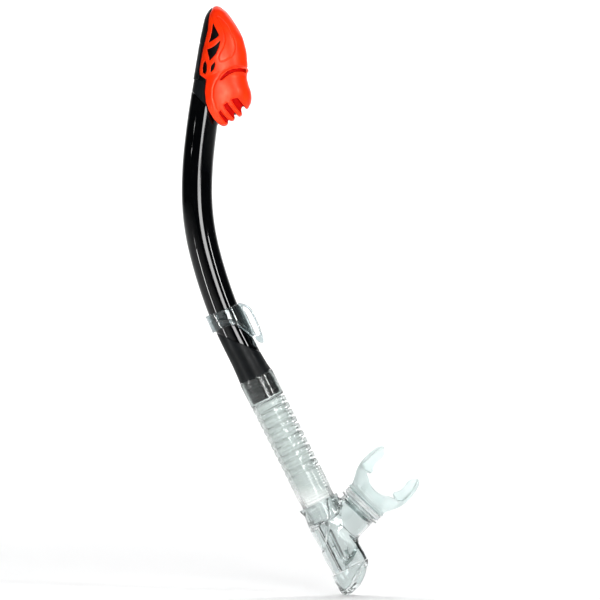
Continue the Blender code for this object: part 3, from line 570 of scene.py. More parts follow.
# ---- barrel, foot and hose ----
INSERT_R, FOOT_BEND_S = 10.2, -33
RIB_PROFILE = ((1.5, 0), (1.1, 0.12), (0.35, 0.44), (0, 0.5), (-0.35, 0.44), (-0.8, 0.1), (-1.0, 0))
HOSE_SIDES, NECK_FLUTES, FLUTE_DEPTH = 144, 40, 0.4
CUFF_END_S, CROWN = -63.0, 0.28


def barrel():
    """The glossy curved tube: slanted ends with a small rounded edge, and a smooth bore."""
    top, top_slope = HEAD_S + BARREL_TOP_CUT[0], BARREL_TOP_CUT[1]
    foot, foot_slope = BARREL_FOOT_CUT
    edge = 0.3

    def row(radius, s, sides=128):
        near_top = max(0.0, 1 - (top - s) / CUT_FADE)
        near_foot = max(0.0, 1 - (s - foot) / CUT_FADE)
        return slanted_ring(s, radius, top_slope * near_top + foot_slope * near_foot, sides)

    stations = np.linspace(foot + edge, top - edge, 110)
    rings = [row(BARREL_R - edge, foot)] + [row(BARREL_R, s) for s in stations] + [row(BARREL_R - edge, top)]
    rings.append(row(BARREL_BORE_R + 0.1, top))
    rings += [row(BARREL_BORE_R, s) for s in np.linspace(top - edge, foot + edge, 50)]
    rings.append(row(BARREL_BORE_R + 0.1, foot))
    return skin("barrel_tube", rings)


def barrel_foot():
    """The matt connector between barrel and hose, with its ribbed spigot."""
    cut_s, slope = BARREL_FOOT_CUT
    cut_s -= GAP
    insert, cuff, end = cut_s + 17, HOSE_TOP_S + GAP, CHAMBER_S + 90.8
    rings = [slanted_ring(insert, INSERT_R), slanted_ring(cut_s, INSERT_R, slope)]
    rings += [slanted_ring(cut_s, BARREL_R - 0.25, slope), slanted_ring(cut_s - 0.25, BARREL_R, slope)]
    for share in (i / 14 for i in range(1, 15)):
        s = cut_s + (FOOT_BEND_S - cut_s) * share
        rings.append(slanted_ring(s, BARREL_R + 0.6 * share**1.5, slope * (1 - 0.75 * share)))
    for share in (i / 6 for i in range(1, 7)):
        s = FOOT_BEND_S + (cuff - FOOT_BEND_S) * share
        rings.append(slanted_ring(s, BARREL_R + 0.6 + 0.8 * share, 0.25 * slope * (1 - share)))
    rings += [slanted_ring(cuff, 13.2), slanted_ring(cuff, SPIGOT_R)]
    for rib in range(4):
        s = HOSE_TOP_S - 4.2 - 3.8 * rib
        rings += [slanted_ring(s + up, SPIGOT_R + out) for up, out in RIB_PROFILE]
    tip = ((end + 0.8, SPIGOT_R), (end + 0.2, SPIGOT_R - 0.35), (end, SPIGOT_R - 0.8), (end, 9.7))
    bore = ((end + 0.3, 9.6), (FOOT_BEND_S, 9.6), (-20, 9.3), (insert, 9.2))
    rings += [slanted_ring(s, radius) for s, radius in tip + bore]
    return skin("barrel_foot_connector", rings)


def flex_hose():
    """Ribbed hose: rounded lands between ring grooves that are deeper on the right, and a fluted neck."""
    turns = around(HOSE_SIDES)
    shallow, deep = GROOVE_DEPTHS
    shoulder, end = CHAMBER_S + 7.5, CHAMBER_S - SOCKET_DEPTH + 1.0
    neck, wide = SOCKET_R - GAP, SPIGOT_R + 0.5 + GAP
    last = FIRST_GROOVE_S - (GROOVES - 1) * GROOVE_PITCH

    def groove_share(s):
        """How far down a groove s is, from 0 to 1, and the distance to the groove's middle."""
        number = min(GROOVES - 1, max(0, round((FIRST_GROOVE_S - s) / GROOVE_PITCH)))
        off = abs(s - (FIRST_GROOVE_S - GROOVE_PITCH * number))
        cut = min(1.0, max(0.0, (0.85 - off) / 0.5))
        return cut * cut * (3 - 2 * cut), off

    def row(s):
        """A ring of the ribbed outside."""
        share, off = groove_share(s)
        crown = 0.0
        if last - 3 < s < FIRST_GROOVE_S + 3:
            crown = CROWN * (1 - min(1.0, off / (GROOVE_PITCH / 2))) ** 2
        edge = max(0.0, 0.5 - min(HOSE_TOP_S - s, s - shoulder))
        ring = []
        for t in turns:
            depth = shallow + (deep - shallow) * (0.5 + 0.5 * math.cos(t))
            radius = HOSE_R - crown - share * (depth - CROWN) - edge * edge
            ring.append((radius * math.cos(t), radius * math.sin(t), s))
        return ring

    def ring_at(radius, s, flutes=0.0):
        """A plain ring, or one with flutes of that depth."""
        radii = [radius - flutes * (0.5 - 0.5 * math.cos(NECK_FLUTES * t)) for t in turns]
        return [(r * math.cos(t), r * math.sin(t), s) for r, t in zip(radii, turns)]

    rings = [row(s) for s in np.linspace(HOSE_TOP_S, FIRST_GROOVE_S + 1.2, 24)]
    rings += [row(s) for s in np.linspace(FIRST_GROOVE_S + 1.1, last - 1.2, 330)]
    rings += [row(s) for s in np.linspace(last - 1.4, shoulder, 24)]
    rings += [ring_at(neck + 0.05, shoulder), ring_at(neck, shoulder - 0.3, FLUTE_DEPTH)]
    rings += [ring_at(neck, CHAMBER_S + 0.5, FLUTE_DEPTH), ring_at(neck, CHAMBER_S - 0.5)]
    rings += [ring_at(neck, end + 0.3), ring_at(neck - 0.3, end), ring_at(HOSE_BORE_R, end)]
    for s in np.linspace(end + 1, CUFF_END_S, 440):
        ripple = BORE_RIPPLE * 0.5 * (1 - math.cos(2 * math.pi * (s - CUFF_END_S) / BORE_PITCH))
        rings.append(ring_at(HOSE_BORE_R + ripple, s))
    rings += [ring_at(HOSE_BORE_R + 0.2, CUFF_END_S + 0.6), ring_at(wide - 0.3, CUFF_END_S + 1.4)]
    rings += [ring_at(wide, CUFF_END_S + 1.7), ring_at(wide, HOSE_TOP_S - 0.4)]
    rings.append(ring_at(wide + 0.2, HOSE_TOP_S))
    return skin("ribbed_hose", rings, frame_at(FLEX_S) @ Matrix.Translation((0, 0, -FLEX_S)))


# ---- keeper clip ----
CLIP_BORE_R, CLIP_OUT_R = 12.8, 14.6
CLIP_TOP, CLIP_TOP_SLOPE, CLIP_FOOT = 16.2, -0.07, 3.2
PAD_LOW, PAD_TOP, LAND_TOP, PAD_HALF = -12.2, 12.8, 8.4, 8.0
TONGUE = (
    (12.9, 16.3), (15.0, 15.2), (16.9, 13.9), (18.5, 12.3), (19.9, 10.2), (20.8, 7.6), (21.1, 4.5),
    (21.0, -2), (20.8, -8), (20.3, -13), (19.6, -17), (18.7, -20.4), (16.4, -19.7), (14.9, -18.1),
    (14.1, -16.3), (14.0, -13.5), (15.0, -13.1), (16.7, -13.9), (18.3, -13.5), (19.1, -11), (19.4, -5),
    (19.4, 3), (19.1, 6.5), (18.4, 9.0), (17.2, 11.0), (15.6, 12.3), (12.9, 13.0),
)
CLIP_RIB = (
    (-13, 12.6), (-11.2, 12), (-5.9, 10.4), (-0.8, 8.4), (3.7, 5.1), (8, 1.4), (11.2, -2.7), (13, -6.2),
    (13.9, -10),
)


def box_level(field, low, high):
    """Level function of a box."""
    sides = [np.maximum(a - axis, axis - b) for a, b, axis in zip(low, high, (field.x, field.y, field.z))]
    return np.maximum(np.maximum(sides[0], sides[1]), sides[2])


def keeper_clip():
    """The clear strap clip: swept band, strap pad and springy hooked tongue."""
    field = Field((-16, -16, -22), (22.5, 16, 18), 0.32)
    radius = np.sqrt(field.x**2 + field.y**2)
    share = np.clip((field.x / np.maximum(radius, 1) + 0.28) / 1.14, 0, 1) ** 3
    lower = CLIP_FOOT + (PAD_LOW - CLIP_FOOT) * share
    upper = CLIP_TOP + CLIP_TOP_SLOPE * field.x
    outside = radius - CLIP_OUT_R + groove(field.line(CLIP_RIB), -0.45, 0.7)
    outside = outside + groove(field.z - lower - 0.5, -0.2, 0.6) + groove(field.z - upper + 0.5, -0.2, 0.6)
    band = smooth_max(outside, CLIP_BORE_R - radius, 0.25)
    band = smooth_max(band, smooth_max(lower - field.z, field.z - upper, 0.3), 0.45)
    pad = box_level(field, (CLIP_BORE_R + 0.8, -PAD_HALF, PAD_LOW), (PAD_REACH - 0.4, PAD_HALF, PAD_TOP))
    land_low = (CLIP_BORE_R + 1.2, 0.4 - PAD_HALF, PAD_LOW + 0.3)
    land = box_level(field, land_low, (PAD_REACH, PAD_HALF - 0.4, LAND_TOP))
    tongue = smooth_max(field.outline(rounded(list(TONGUE), 1)), np.abs(field.y) - PAD_HALF + 0.5, 0.6)
    solid = smooth_min(smooth_min(band, pad, 0.5), smooth_min(land, tongue, 0.3), 0.4)
    solid = np.maximum(solid, CLIP_BORE_R - radius)
    return field.mesh("strap_clip", solid, CLIP, 3)


# ---- chamber and its covers ----
CHAMBER_SECTIONS = (
    (-0.6, -16.7, 16.1, 16.3), (1.6, -16.3, 15.8, 16.0), (3.0, -15.7, 15.6, 15.7),
    (14, -15.6, 15.4, 15.4), (26, -15.8, 14.7, 15.0), (38, -15.8, 14.2, 14.5), (46, -15.8, 14.3, 14.0),
    (51, -15.7, 14.7, 13.7), (56, -15.6, 14.6, 13.4), (60, -15.6, 14.4, 13.4),
)
COVER_SECTIONS = (
    (50, -16.4, 14.7, 13.5), (56.4, -16.4, 14.5, 13.4), (61, -16.5, 12.4, 12.7),
    (65.5, -16.5, 9.0, 11.8), (69.5, -16.2, 4.6, 10.3), (72.6, -15.4, -0.8, 8.0),
    (74.0, -13.6, -5.2, 5.0), (74.9, -11.5, -8.5, 2.0),
)
COVER_INSIDE = (
    (54.4, -14.8, 13.1, 11.9), (57.5, -14.8, 12.0, 11.7), (60.8, -14.9, 7.7, 11.2),
    (64.6, -14.7, 2.3, 10.0), (67.4, -14.4, -1.7, 8.6), (69.6, -13.6, -6.0, 6.5),
    (71.0, -12.6, -9.0, 3.6),
)
OUTLET, OUTLET_HALF = ((-4, -66), (7.0, -59.0), (16, -64), (5, -76)), 4.5
DUCT_SCALES = (
    (DUCT_START + GAP, 15.9), (22, 15.8), (26.5, 15.4), (35.3, 14.6), (36.3, 15.8), (44.2, 15.8),
    (51, 14.9), (55.6, 15.0),
)
DUCT_DEEP, DUCT_END = 13.2, 55.6
WALL = 1.7
CHAMBER_TOP, AIRWAY_TOP = -0.6, 15.2
COVER_TOP, COVER_TIP, COVER_HOLLOW_END = 56.4, 74.9, 71.0
LEAF = (
    (10.9, 2.2), (7.4, 1.3), (5.5, -2.5), (4.4, -7.2), (2.3, -13.2), (-0.8, -19.4), (-4.3, -23.8),
    (-6.4, -27.1), (-7.1, -33.7), (-6.4, -41.0), (-5.3, -47.7), (-3.2, -50.5), (3.0, -46.6),
    (4.8, -39.7), (11.0, -32.3), (10.7, -26), (11.4, -19.4), (12.8, -14), (13.9, -9.3), (14.6, -2.7),
    (13.5, 0.5),
)
ARCH = (
    (-13.7, -6), (-12.6, -1.5), (-10.2, 0.4), (-8.1, 1.0), (-4.8, 0.6), (-2.9, -1.2), (-2.9, -3.6),
    (-3.2, -10.4), (-2.9, -16.6), (-4.3, -22.9), (-7.5, -29), (-11.5, -34), (-15.1, -33),
    (-15.1, -23.6), (-14.4, -15.2),
)
RIDGE = ((-6.0, -22), (-6.7, -27), (-7.8, -42), (-8.5, -57.5), (-7.8, -72))
PORT_ARC = ((18.5, -9.9), (15.3, -10.9), (13, -13.3), (11.1, -17.6), (10, -22.2), (10.5, -27))


def in_port(field):
    """Height along the port's axis and distance from it, for a grid in the chamber's frame."""
    turn = math.radians(PORT_LEAN - HOSE_LEAN)
    x, z = field.x, field.z + PORT_DOWN
    along = x * math.sin(turn) + z * math.cos(turn) - PORT_REACH
    across = x * math.cos(turn) - z * math.sin(turn)
    return along, np.sqrt(across**2 + field.y**2)


def between(value, low, high):
    """Level function of the slab from low to high."""
    return np.maximum(low - value, value - high)


def chamber():
    """Clear purge chamber: hose socket, moulded lobes on its sides, and the mouthpiece port."""
    field = Field((-18.5, -19, -58), (43, 19, 2.5), 0.4)
    down = -field.z
    along, out = in_port(field)
    outside = rows_level(field, CHAMBER_SECTIONS, 0.5, -1.0)
    scallop = 0.5 * np.cos(14 * np.arctan2(field.y, field.x)) * np.clip(1 - np.abs(down - 1.2) / 2.5, 0, 1)
    outside = outside + 0.25 * scallop
    leaf, arch = field.outline(rounded(list(LEAF), 2)), field.outline(rounded(list(ARCH), 2))
    outside = outside + step_up(leaf, 1.1, 1.4) + groove(leaf, 0.5, 0.55)
    outside = outside + step_up(arch, 0.7, 1.3) + groove(arch, 0.4, 0.55)
    port = np.maximum(out - PORT_R, between(along, 4 - PORT_REACH, 0))
    port = port + groove(field.line(PORT_ARC), 0.3, 0.8)
    ends = between(down, CHAMBER_TOP, CHAMBER_LENGTH)
    body = smooth_min(np.maximum(outside, ends), port, 3.0)
    body = smooth_max(body, ends, 0.4)
    flange = smooth_max(out - FLANGE_R, between(along, -0.2, 1.3), 0.5)
    spigot = smooth_max(out - PORT_SPIGOT_R, between(along, 0.0, 11.0), 0.4)
    body = smooth_min(body, np.minimum(flange, spigot), 0.35)
    rear = np.maximum(field.x - DUCT_FACE, DUCT_START - down)
    body = smooth_max(body, -rear, 0.3)
    radius = np.sqrt(field.x**2 + field.y**2)
    socket = np.maximum(radius - SOCKET_R, down - SOCKET_DEPTH)
    throat = np.maximum(radius - np.interp(down, (14.6, 16.4), (11.2, 6.4)), down - 16.4)
    airway = [(row[0], -7.0, row[2] - WALL, row[3] - WALL) for row in CHAMBER_SECTIONS[3:]]
    airway = np.maximum(rows_level(field, airway, 0.5, -1.0), AIRWAY_TOP - down)
    bore_r = np.interp(along, (-4, -1.5), (PORT_BORE_R, PORT_SPIGOT_BORE_R))
    bore = np.maximum(out - bore_r, 9 - PORT_REACH - along)
    hollow = np.minimum(np.minimum(socket, throat), smooth_min(airway, bore, 1.5))
    return field.mesh("purge_chamber", smooth_max(body, -hollow, 0.3), CHAMBER, 4)


def duct_cover():
    """The rear channel cover, stepping out like scales."""
    field = Field((-18.5, -17, -58), (-7, 17, -14), 0.32)
    down = -field.z
    out = np.interp(down, *zip(*DUCT_SCALES))
    deep = 15.2 - 0.045 * (down - DUCT_START)
    arch = field.outline(rounded(list(ARCH), 2))
    shell = level(field.x, field.y, -out, 14.5, deep, 0.5) + step_up(arch, 0.35, 1.4) + groove(arch, 0.3, 0.6)
    shell = smooth_max(shell, between(down, DUCT_START + GAP, DUCT_END), 0.5)
    shell = smooth_max(shell, field.x - DUCT_FACE + GAP, 0.35)
    inside = np.maximum(level(field.x, field.y, -DUCT_DEEP, 14.5, deep - 1.6, 0.5), between(down, 17.9, 59))
    return field.mesh("duct_cover_shell", smooth_max(shell, -inside, 0.3), CHAMBER, 3)


def purge_cover():
    """The clear toe: a scoop over the purge valve, thick in front, with its outlet slot."""
    field = Field((-18.5, -16, -78), (16.5, 16, -53), 0.32)
    down = -field.z
    outside = rows_level(field, COVER_SECTIONS, 0.5, -1.0) + groove(field.line(RIDGE), -0.55, 0.9)
    shell = smooth_max(outside, between(down, COVER_TOP, COVER_TIP), 0.4)
    inside = np.maximum(rows_level(field, COVER_INSIDE, 0.5, -1.0), down - COVER_HOLLOW_END)
    shell = smooth_max(shell, -inside, 0.3)
    outlet = smooth_max(field.outline(list(OUTLET)), np.abs(field.y) - OUTLET_HALF, 1.5)
    return field.mesh("purge_cover_toe", smooth_max(shell, -outlet, 0.5), CHAMBER, 3)


# ---- mouthpiece ----
MOUTH_COLLAR_R, MOUTH_BORE_R = 16.2, 14.0
MOUTH_SECTIONS = (
    (9.3, 16.9, 16.6), (12.0, 17.7, 15.7), (16.0, 19.5, 14.2), (20.0, 21.5, 13.0), (25.0, 23.2, 11.9),
    (31.0, 23.8, 10.7), (36.5, 23.6, 9.3), (41.5, 22.9, 7.7), (45.5, 21.6, 6.0), (48.4, 19.3, 4.2),
)
SHIELD_THICK, TAB_HALF = 2.6, 1.7
BITE_CENTRE, BITE_R = 35.5, 17
PASSAGE = ((10.5, 11.4, 10.8), (15, 10.9, 8.8), (23.9, 10.4, 7.6))
BITE_EDGE = (
    (15.0, 24.2), (11.8, 25.8), (11.4, 28.2), (13.0, 30.0), (14.1, 33), (14.0, 37), (13.4, 41.3),
    (14.4, 44.6), (17.0, 46.6), (19.0, 52),
)


def mouthpiece():
    """Soft mouthpiece: ringed collar, neck, lip shield and the two bitten tabs."""
    field = Field((-26, -18.5, 1.2), (26, 18.5, 50), 0.4)
    radius = np.sqrt(field.x**2 + field.y**2)
    collar = smooth_max(radius - MOUTH_COLLAR_R, between(field.z, 1.9, 9.0), 0.4)
    rim = smooth_max(radius - FLANGE_R, between(field.z, 7.3, 8.9), 0.5)
    rows = MOUTH_SECTIONS + ((50.5, 15.0, 2.2),)
    wide, deep = curve(field.z, rows, 1), curve(field.z, rows, 2)
    power = np.interp(field.z, (9.3, 20), (2.0, 2.6))
    size = ((np.abs(field.x) / wide) ** power + (np.abs(field.y) / deep) ** power) ** (1 / power)
    shield = (size - 1) * np.minimum(wide, deep)
    shield = shield + groove(field.z - 11.2, 0.25, 0.5) + groove(field.z - 13.4, 0.2, 0.5)
    shield = smooth_max(shield, between(field.z, 8.6, 48.4), 1.0)
    piece = smooth_min(smooth_min(collar, rim, 0.3), shield, 0.6)
    curved = list(reversed(arc(0, BITE_CENTRE, BITE_R, -50, -130, 15)))
    gap = field.outline([(-x, z) for x, z in reversed(BITE_EDGE)] + curved + list(BITE_EDGE))
    piece = smooth_max(piece, -gap, 1.0)
    half = [(8.0, 27.5), (17.5, 24.7), (21.0, 27.5)]
    half += [(w - SHIELD_THICK, z + 0.3) for z, w, _ in MOUTH_SECTIONS[5:-1]]
    half.append((half[-1][0] - 6.0, 54))
    pocket = field.outline([(-x, z) for x, z in reversed(half)] + half)
    pocket = smooth_max(pocket, TAB_HALF - np.abs(field.y), 0.6)
    piece = smooth_max(piece, -pocket, 0.8)
    bore = np.maximum(radius - MOUTH_BORE_R, field.z - 11.6)
    heights, reaches, thicks = zip(*PASSAGE)
    reach, thick = np.interp(field.z, heights, reaches), np.interp(field.z, heights, thicks)
    passage = (np.sqrt((field.x / reach) ** 2 + (field.y / thick) ** 2) - 1) * thick
    passage = np.maximum(passage, between(field.z, heights[0], heights[-1]))
    return field.mesh("soft_mouthpiece", smooth_max(piece, -np.minimum(bore, passage), 0.4), PORT, 8)


def mouthpiece_band():
    """The band round the mouthpiece's collar, with a fine groove."""
    inner, outer = MOUTH_COLLAR_R + GAP, MOUTH_COLLAR_R + 1.2
    profile = [(outer - 0.3, 2.6), (outer - 0.05, 2.75), (outer, 3.0), (outer, 4.2), (outer - 0.25, 4.6)]
    profile += [(outer, 5.0), (outer, 6.2), (outer - 0.05, 6.45), (outer - 0.3, 6.6)]
    profile += [(inner, 6.6), (inner, 2.6)]
    return skin("retaining_band", [circle(r, z, 128) for r, z in profile], PORT)


# ---- dry top ----
TOP_SECTIONS = (
    (8, -12.2, 26.5, 14.5), (14, -12.2, 28.2, 15.6), (20.6, -12.2, 28.7, 16.2), (30, -12.2, 26.9, 16.0),
    (36, -12.2, 25.3, 15.3), (42, -12.1, 22.8, 14.3), (48, -11.8, 19.7, 12.9), (53, -11.6, 15.9, 11.3),
    (58.5, -10.9, 11.1, 9.3), (62, -9.7, 7.6, 7.4), (65.0, -7.9, 4.0, 5.4), (67.1, -5.4, 0.2, 2.8),
)
BULB_SECTIONS = (
    (23, -10, 26.0, 14.0), (18, -10, 28.1, 15.1), (11.5, -10, 30.9, 16.3), (5, -10, 34.2, 16.9),
    (0, -10, 35.2, 17.0), (-6, -10, 34.6, 16.8), (-12, -10, 32.4, 16.1), (-18, -10, 29.0, 15.0),
    (-26, -10, 24, 13.4),
)
CAP_REAR = (
    (-6.0, 67.5), (-7.9, 60.3), (-7.9, 55.6), (-7.1, 47.9), (-7.7, 39.9), (-8.4, 31.8), (-8.5, 23.9),
    (-8.4, 16.0), (-7.4, 12.2), (-1.9, 9.2), (-1.6, 4), (-1.4, 0), (0.7, -7.8), (4.1, -14.3),
    (9.0, -19.9), (14.4, -23.7),
)
WINDOWS = (
    (
        (-3.8, 53.2), (-1.9, 50.3), (0.2, 47.6), (2.1, 45.0), (0.0, 42.2), (-4.6, 38.2), (-3.8, 41.9),
        (-3.6, 47.6),
    ),
    (
        (3.8, 40.6), (3.3, 35.3), (2.0, 30.1), (-1.6, 24.5), (-2.4, 26.9), (-3.5, 29.2), (-4.8, 32.5),
        (-2.2, 33.9), (0.9, 36.6),
    ),
    ((-5.0, 23.2), (-3.5, 20.6), (-2.8, 16.5), (-3.4, 13.6), (-5.2, 14.3), (-6.0, 18.1), (-5.9, 21.6)),
    ((2.3, 23.7), (2.9, 21.7), (2.4, 18.1), (0.7, 15.5), (0.3, 19.8)),
)
CAP_FOOT = (
    (9.0, -26.0), (12.9, -22.6), (15.0, -23.3), (17.4, -23.6), (19.6, -22.3), (20.4, -20.5),
    (19.9, -19.0), (20.1, -18.2), (21.1, -18.4), (22.9, -18.8), (24.5, -17.5), (24.9, -15.7),
    (23.7, -13.0), (24.2, -12.4), (25.4, -13.0), (26.9, -14.1), (28.4, -14.5), (29.7, -13.4),
    (30.1, -12.0), (28.6, -8.3), (28.8, -6.9), (29.6, -6.0), (30.7, -6.4), (32.0, -7.6), (33.0, -8.0),
    (34.0, -7.0), (35.0, -4.3), (37.0, -0.8),
)
DRAINS = (
    (
        (12.0, -14.6), (12.7, -12.3), (15.6, -15.2), (20.6, -18.9), (21.5, -21.5), (18.2, -20.9),
        (15.3, -18.2),
    ),
    (
        (14.7, -8.1), (17.1, -5.4), (20.0, -8.5), (25.0, -12.8), (25.8, -15.6), (24.0, -17.0),
        (20.6, -14.3), (16.9, -10.9),
    ),
    (
        (19.9, -3.1), (20.9, -2.1), (24.2, -0.7), (25.2, -1.0), (27.5, -3.3), (31.0, -6.2),
        (31.0, -10.4), (29.1, -11.8), (26.6, -9.8), (23.3, -6.8),
    ),
)
DRAIN_DEPTH, SLIT_DEPTH = 2.2, 1.3
BULB_INSIDE_TOP = (6, -10, 33.5, 16.8)
REAR_WALL, REAR_INSET = 2.4, 3.7
REAR_FOOT, REAR_HOLLOW_TOP = 8.3, 61.5
LIP_CREASE = (
    (6.9, 12.5), (8.3, 15.2), (9.8, 17.2), (12.5, 19.7), (15.8, 22.0), (19.3, 23.3), (24, 24.3),
    (30, 24.3),
)
LIP_BEAD = (
    (3.3, 4.1), (5.0, 8.0), (7.6, 12.0), (9.3, 14.6), (12.0, 17.8), (15.0, 20.4), (18.0, 21.9),
    (21.5, 22.9), (26, 22.7), (30, 21.6),
)
SIDE_CREASE = ((-1.5, 9.2), (1.2, 12.1), (3.9, 14.9), (6.8, 16.3))
SLIT = (
    (8.7, 10.7), (9.05, 12.2), (11.2, 15.9), (13.5, 18.7), (17.1, 20.8), (22.3, 22.5), (27.1, 22.7),
    (27.5, 19.9), (24.3, 20.3), (19.7, 19.2), (15.4, 16.6), (12.7, 14.0), (10.1, 10.8),
)
RIM = (
    (9.0, 16.5), (7.8, 13.0), (5.6, 9.2), (4.5, 3.3), (5.4, -3.6), (9.1, -11.5), (15.2, -18.3),
    (19.3, -21.5),
)
WINDOW_EASE = 0.2
PANEL = (
    (-3.2, 59.2), (1.2, 54.4), (5.3, 48.7), (7.3, 42.8), (7.3, 37.0), (5.6, 32.6), (4.5, 28.8),
    (4.9, 25.8), (6.6, 24.6), (9.5, 25.7), (12.4, 28.0), (14.7, 30.5), (16.4, 33.5), (16.7, 38.5),
    (14.9, 43.2), (12.7, 47.0), (8.1, 54.0), (3.1, 58.2), (-0.5, 60.2),
)


def top_outside(field, shrink=0.0):
    """The dry top's upper shell, clipped below its lower edge."""
    shell = rows_level(field, TOP_SECTIONS + ((68.4, -3.6, -1.6, 0.8),), shrink=shrink)
    return smooth_max(shell, field.z - 67.8 + shrink, 1.0)


def top_cap():
    """The red cover: windowed upper shell, lip with its slit, and the fingered splash bulb."""
    field = Field((-14, -18.5, -28), (37.5, 18.5, 69.5), 0.34)
    upper = top_outside(field)
    bulb = rows_level(field, sorted(BULB_SECTIONS))
    panel = field.outline(rounded(list(PANEL), 1))
    upper = upper + step_up(panel, 0.2, 1.0) + groove(panel, 0.35, 0.42)
    upper = upper + groove(field.line(LIP_CREASE), 0.4, 0.45) + groove(field.line(SIDE_CREASE), 0.35, 0.45)
    upper = upper + groove(field.line(LIP_BEAD), -0.5, 0.8)
    drains = [field.outline(rounded(list(outline), 1)) for outline in DRAINS]
    nearest = np.minimum(np.minimum(drains[0], drains[1]), drains[2])
    fingers = np.clip(1 - nearest / 1.2, 0, 1) ** 2 * 0.25
    marks = groove(field.line(RIM), 0.3, 0.6) + fingers
    upper = smooth_max(upper, 8 - field.z, 0.6)
    outside = smooth_min(upper, smooth_max(bulb + marks, field.z - 23, 0.6), 0.5)
    inside_upper = np.maximum(top_outside(field, 1.7), 6 - field.z)
    inside_upper = np.maximum(inside_upper, np.minimum(field.x - 8.5, 22 - field.z))
    upper_bulb = sorted(BULB_SECTIONS[:3] + (BULB_INSIDE_TOP,))
    lower_bulb = sorted(((7, *BULB_INSIDE_TOP[1:]),) + BULB_SECTIONS[3:])
    inside_bulb = np.maximum(rows_level(field, upper_bulb, shrink=1.9), between(field.z, 4.5, 22))
    inside_low = np.maximum(rows_level(field, lower_bulb, shrink=DRAIN_DEPTH + 1.0), field.z - 6)
    inside = np.minimum(np.minimum(inside_upper, inside_bulb), inside_low)
    shell = smooth_max(outside, -inside, 0.3)
    rear = list(CAP_REAR) + [(14.4, -40), (-40, -40), (-40, 70)]
    shell = smooth_max(shell, -field.outline(rear), 0.7)
    foot = rounded(list(CAP_FOOT), 1, closed=False) + [(60, 0), (60, -60), (9, -60)]
    shell = smooth_max(shell, -field.outline(foot), 0.9)
    for outline in WINDOWS:
        shell = smooth_max(shell, -(field.outline(list(outline)) - WINDOW_EASE), 0.5)
    floor = rows_level(field, sorted(BULB_SECTIONS), shrink=DRAIN_DEPTH)
    shell = smooth_max(shell, -np.maximum(nearest, -floor), 0.5)
    back = rows_level(field, sorted(BULB_SECTIONS), shrink=SLIT_DEPTH)
    back = np.minimum(back, top_outside(field, SLIT_DEPTH))
    slit = np.maximum(field.outline(rounded(list(SLIT), 1)), -back)
    shell = smooth_max(shell, -slit, 0.35)
    return field.mesh("splash_cap", shell, HEAD, 3)


def paint_shade_in_recesses(cap, outlines, look):
    """Painted shade: gives the faces down in the cover's recesses a darker red material, standing in for the
    shade that falls in them.
    """
    cap.data.materials.append(look)
    count = len(cap.data.polygons)
    centres = np.empty(count * 3)
    cap.data.polygons.foreach_get("center", centres)
    to_head = np.array(HEAD.inverted())
    centres = centres.reshape(-1, 3) / MM @ to_head[:3, :3].T + to_head[:3, 3]
    # faces inside a drain outline or the slit get the painted-shade material
    deep = np.zeros(count, dtype=np.int32)
    for outline in outlines:
        inside = np.zeros(count, dtype=bool)
        for (x0, z0), (x1, z1) in zip(outline, outline[1:] + outline[:1]):
            crosses = (z0 > centres[:, 2]) != (z1 > centres[:, 2])
            inside ^= crosses & (centres[:, 0] < (x1 - x0) * (centres[:, 2] - z0) / (z1 - z0 or TINY) + x0)
        deep |= inside
    cap.data.polygons.foreach_set("material_index", deep)


def rear_shell():
    """The dark inner shell: its back strip shows, and its cheeks close the cover's windows."""
    field = Field((-14, -17.5, 7), (29, 17.5, 69.5), 0.42)
    outer = smooth_max(top_outside(field), REAR_FOOT - field.z, 0.5)
    cheek = np.maximum(top_outside(field, 2.1), np.minimum(field.x - 6, REAR_HOLLOW_TOP - field.z))
    cheek = np.maximum(cheek, REAR_FOOT - field.z)
    edge = [(x - 0.4, z) for x, z in reversed(CAP_REAR[1:9])]
    strip = [(-40, 0), (-8.9, 0), *edge, (-6.6, 66), (-6.3, 80), (-40, 80)]
    strip = smooth_max(outer, field.outline(strip), 0.3)
    strip = strip + groove(field.z - 37.1, 0.25, 0.8)
    rows = []
    for height, back, front, depth in TOP_SECTIONS[:-1]:
        back += REAR_WALL
        rows.append((height, back, max(front - REAR_INSET, back + 1.5), max(depth - REAR_INSET, 1)))
    inside = np.maximum(rows_level(field, rows), field.z - REAR_HOLLOW_TOP)
    return field.mesh("rear_shell_moulding", smooth_max(smooth_min(strip, cheek, 0.3), -inside, 0.3), HEAD, 3)


# ---- assembly ----
place(barrel(), "barrel", ["barrel"], BLACK_GLOSS)
place(barrel_foot(), "barrel", ["barrel_foot"], BLACK_MATT)
place(keeper_clip(), "clip", ["keeper_clip"], clip_plastic())
place(chamber(), "lower", ["chamber"], CLEAR)
place(duct_cover(), "lower", ["duct_cover"], CLEAR)
place(purge_cover(), "lower", ["purge_cover"], CLEAR)
place(mouthpiece(), "mouthpiece", ["mouthpiece"], MOUTH_SOFT)
place(mouthpiece_band(), "mouthpiece", ["mouthpiece_band"], BAND)
splash_cap = place(top_cap(), "barrel", ["top_cap"], RED)
# painted shade: the drain slots' floors and the slit get the darker red
paint_shade_in_recesses(splash_cap, DRAINS + (SLIT,), red_painted_shade())
place(rear_shell(), "barrel", ["rear_shell"], BLACK_MATT)
hose = place(flex_hose(), None, ["flex_hose"], HOSE_SOFT)
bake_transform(hose)

KEPT = {
    "inlet_collar": BLACK_MATT, "pivot_pin": STEEL, "float_cup": BLACK_MATT, "float_lid": BLACK_MATT,
    "valve_lever": BLACK_MATT, "valve_seal": SEAL, "seal_button": SEAL,
    "purge_seat": CLEAR, "purge_valve": MOUTH_SOFT,
}
for name, look in KEPT.items():
    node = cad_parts[name]
    for slot in node.material_slots:
        slot.material = look


# ---- floor, light and camera ----
FLOOR_Z, FLOOR_FLAT, FLOOR_BEND, FLOOR_TOP, FLOOR_SIDE = -0.2142, 3.15, 2.8, 14.0, 14.0

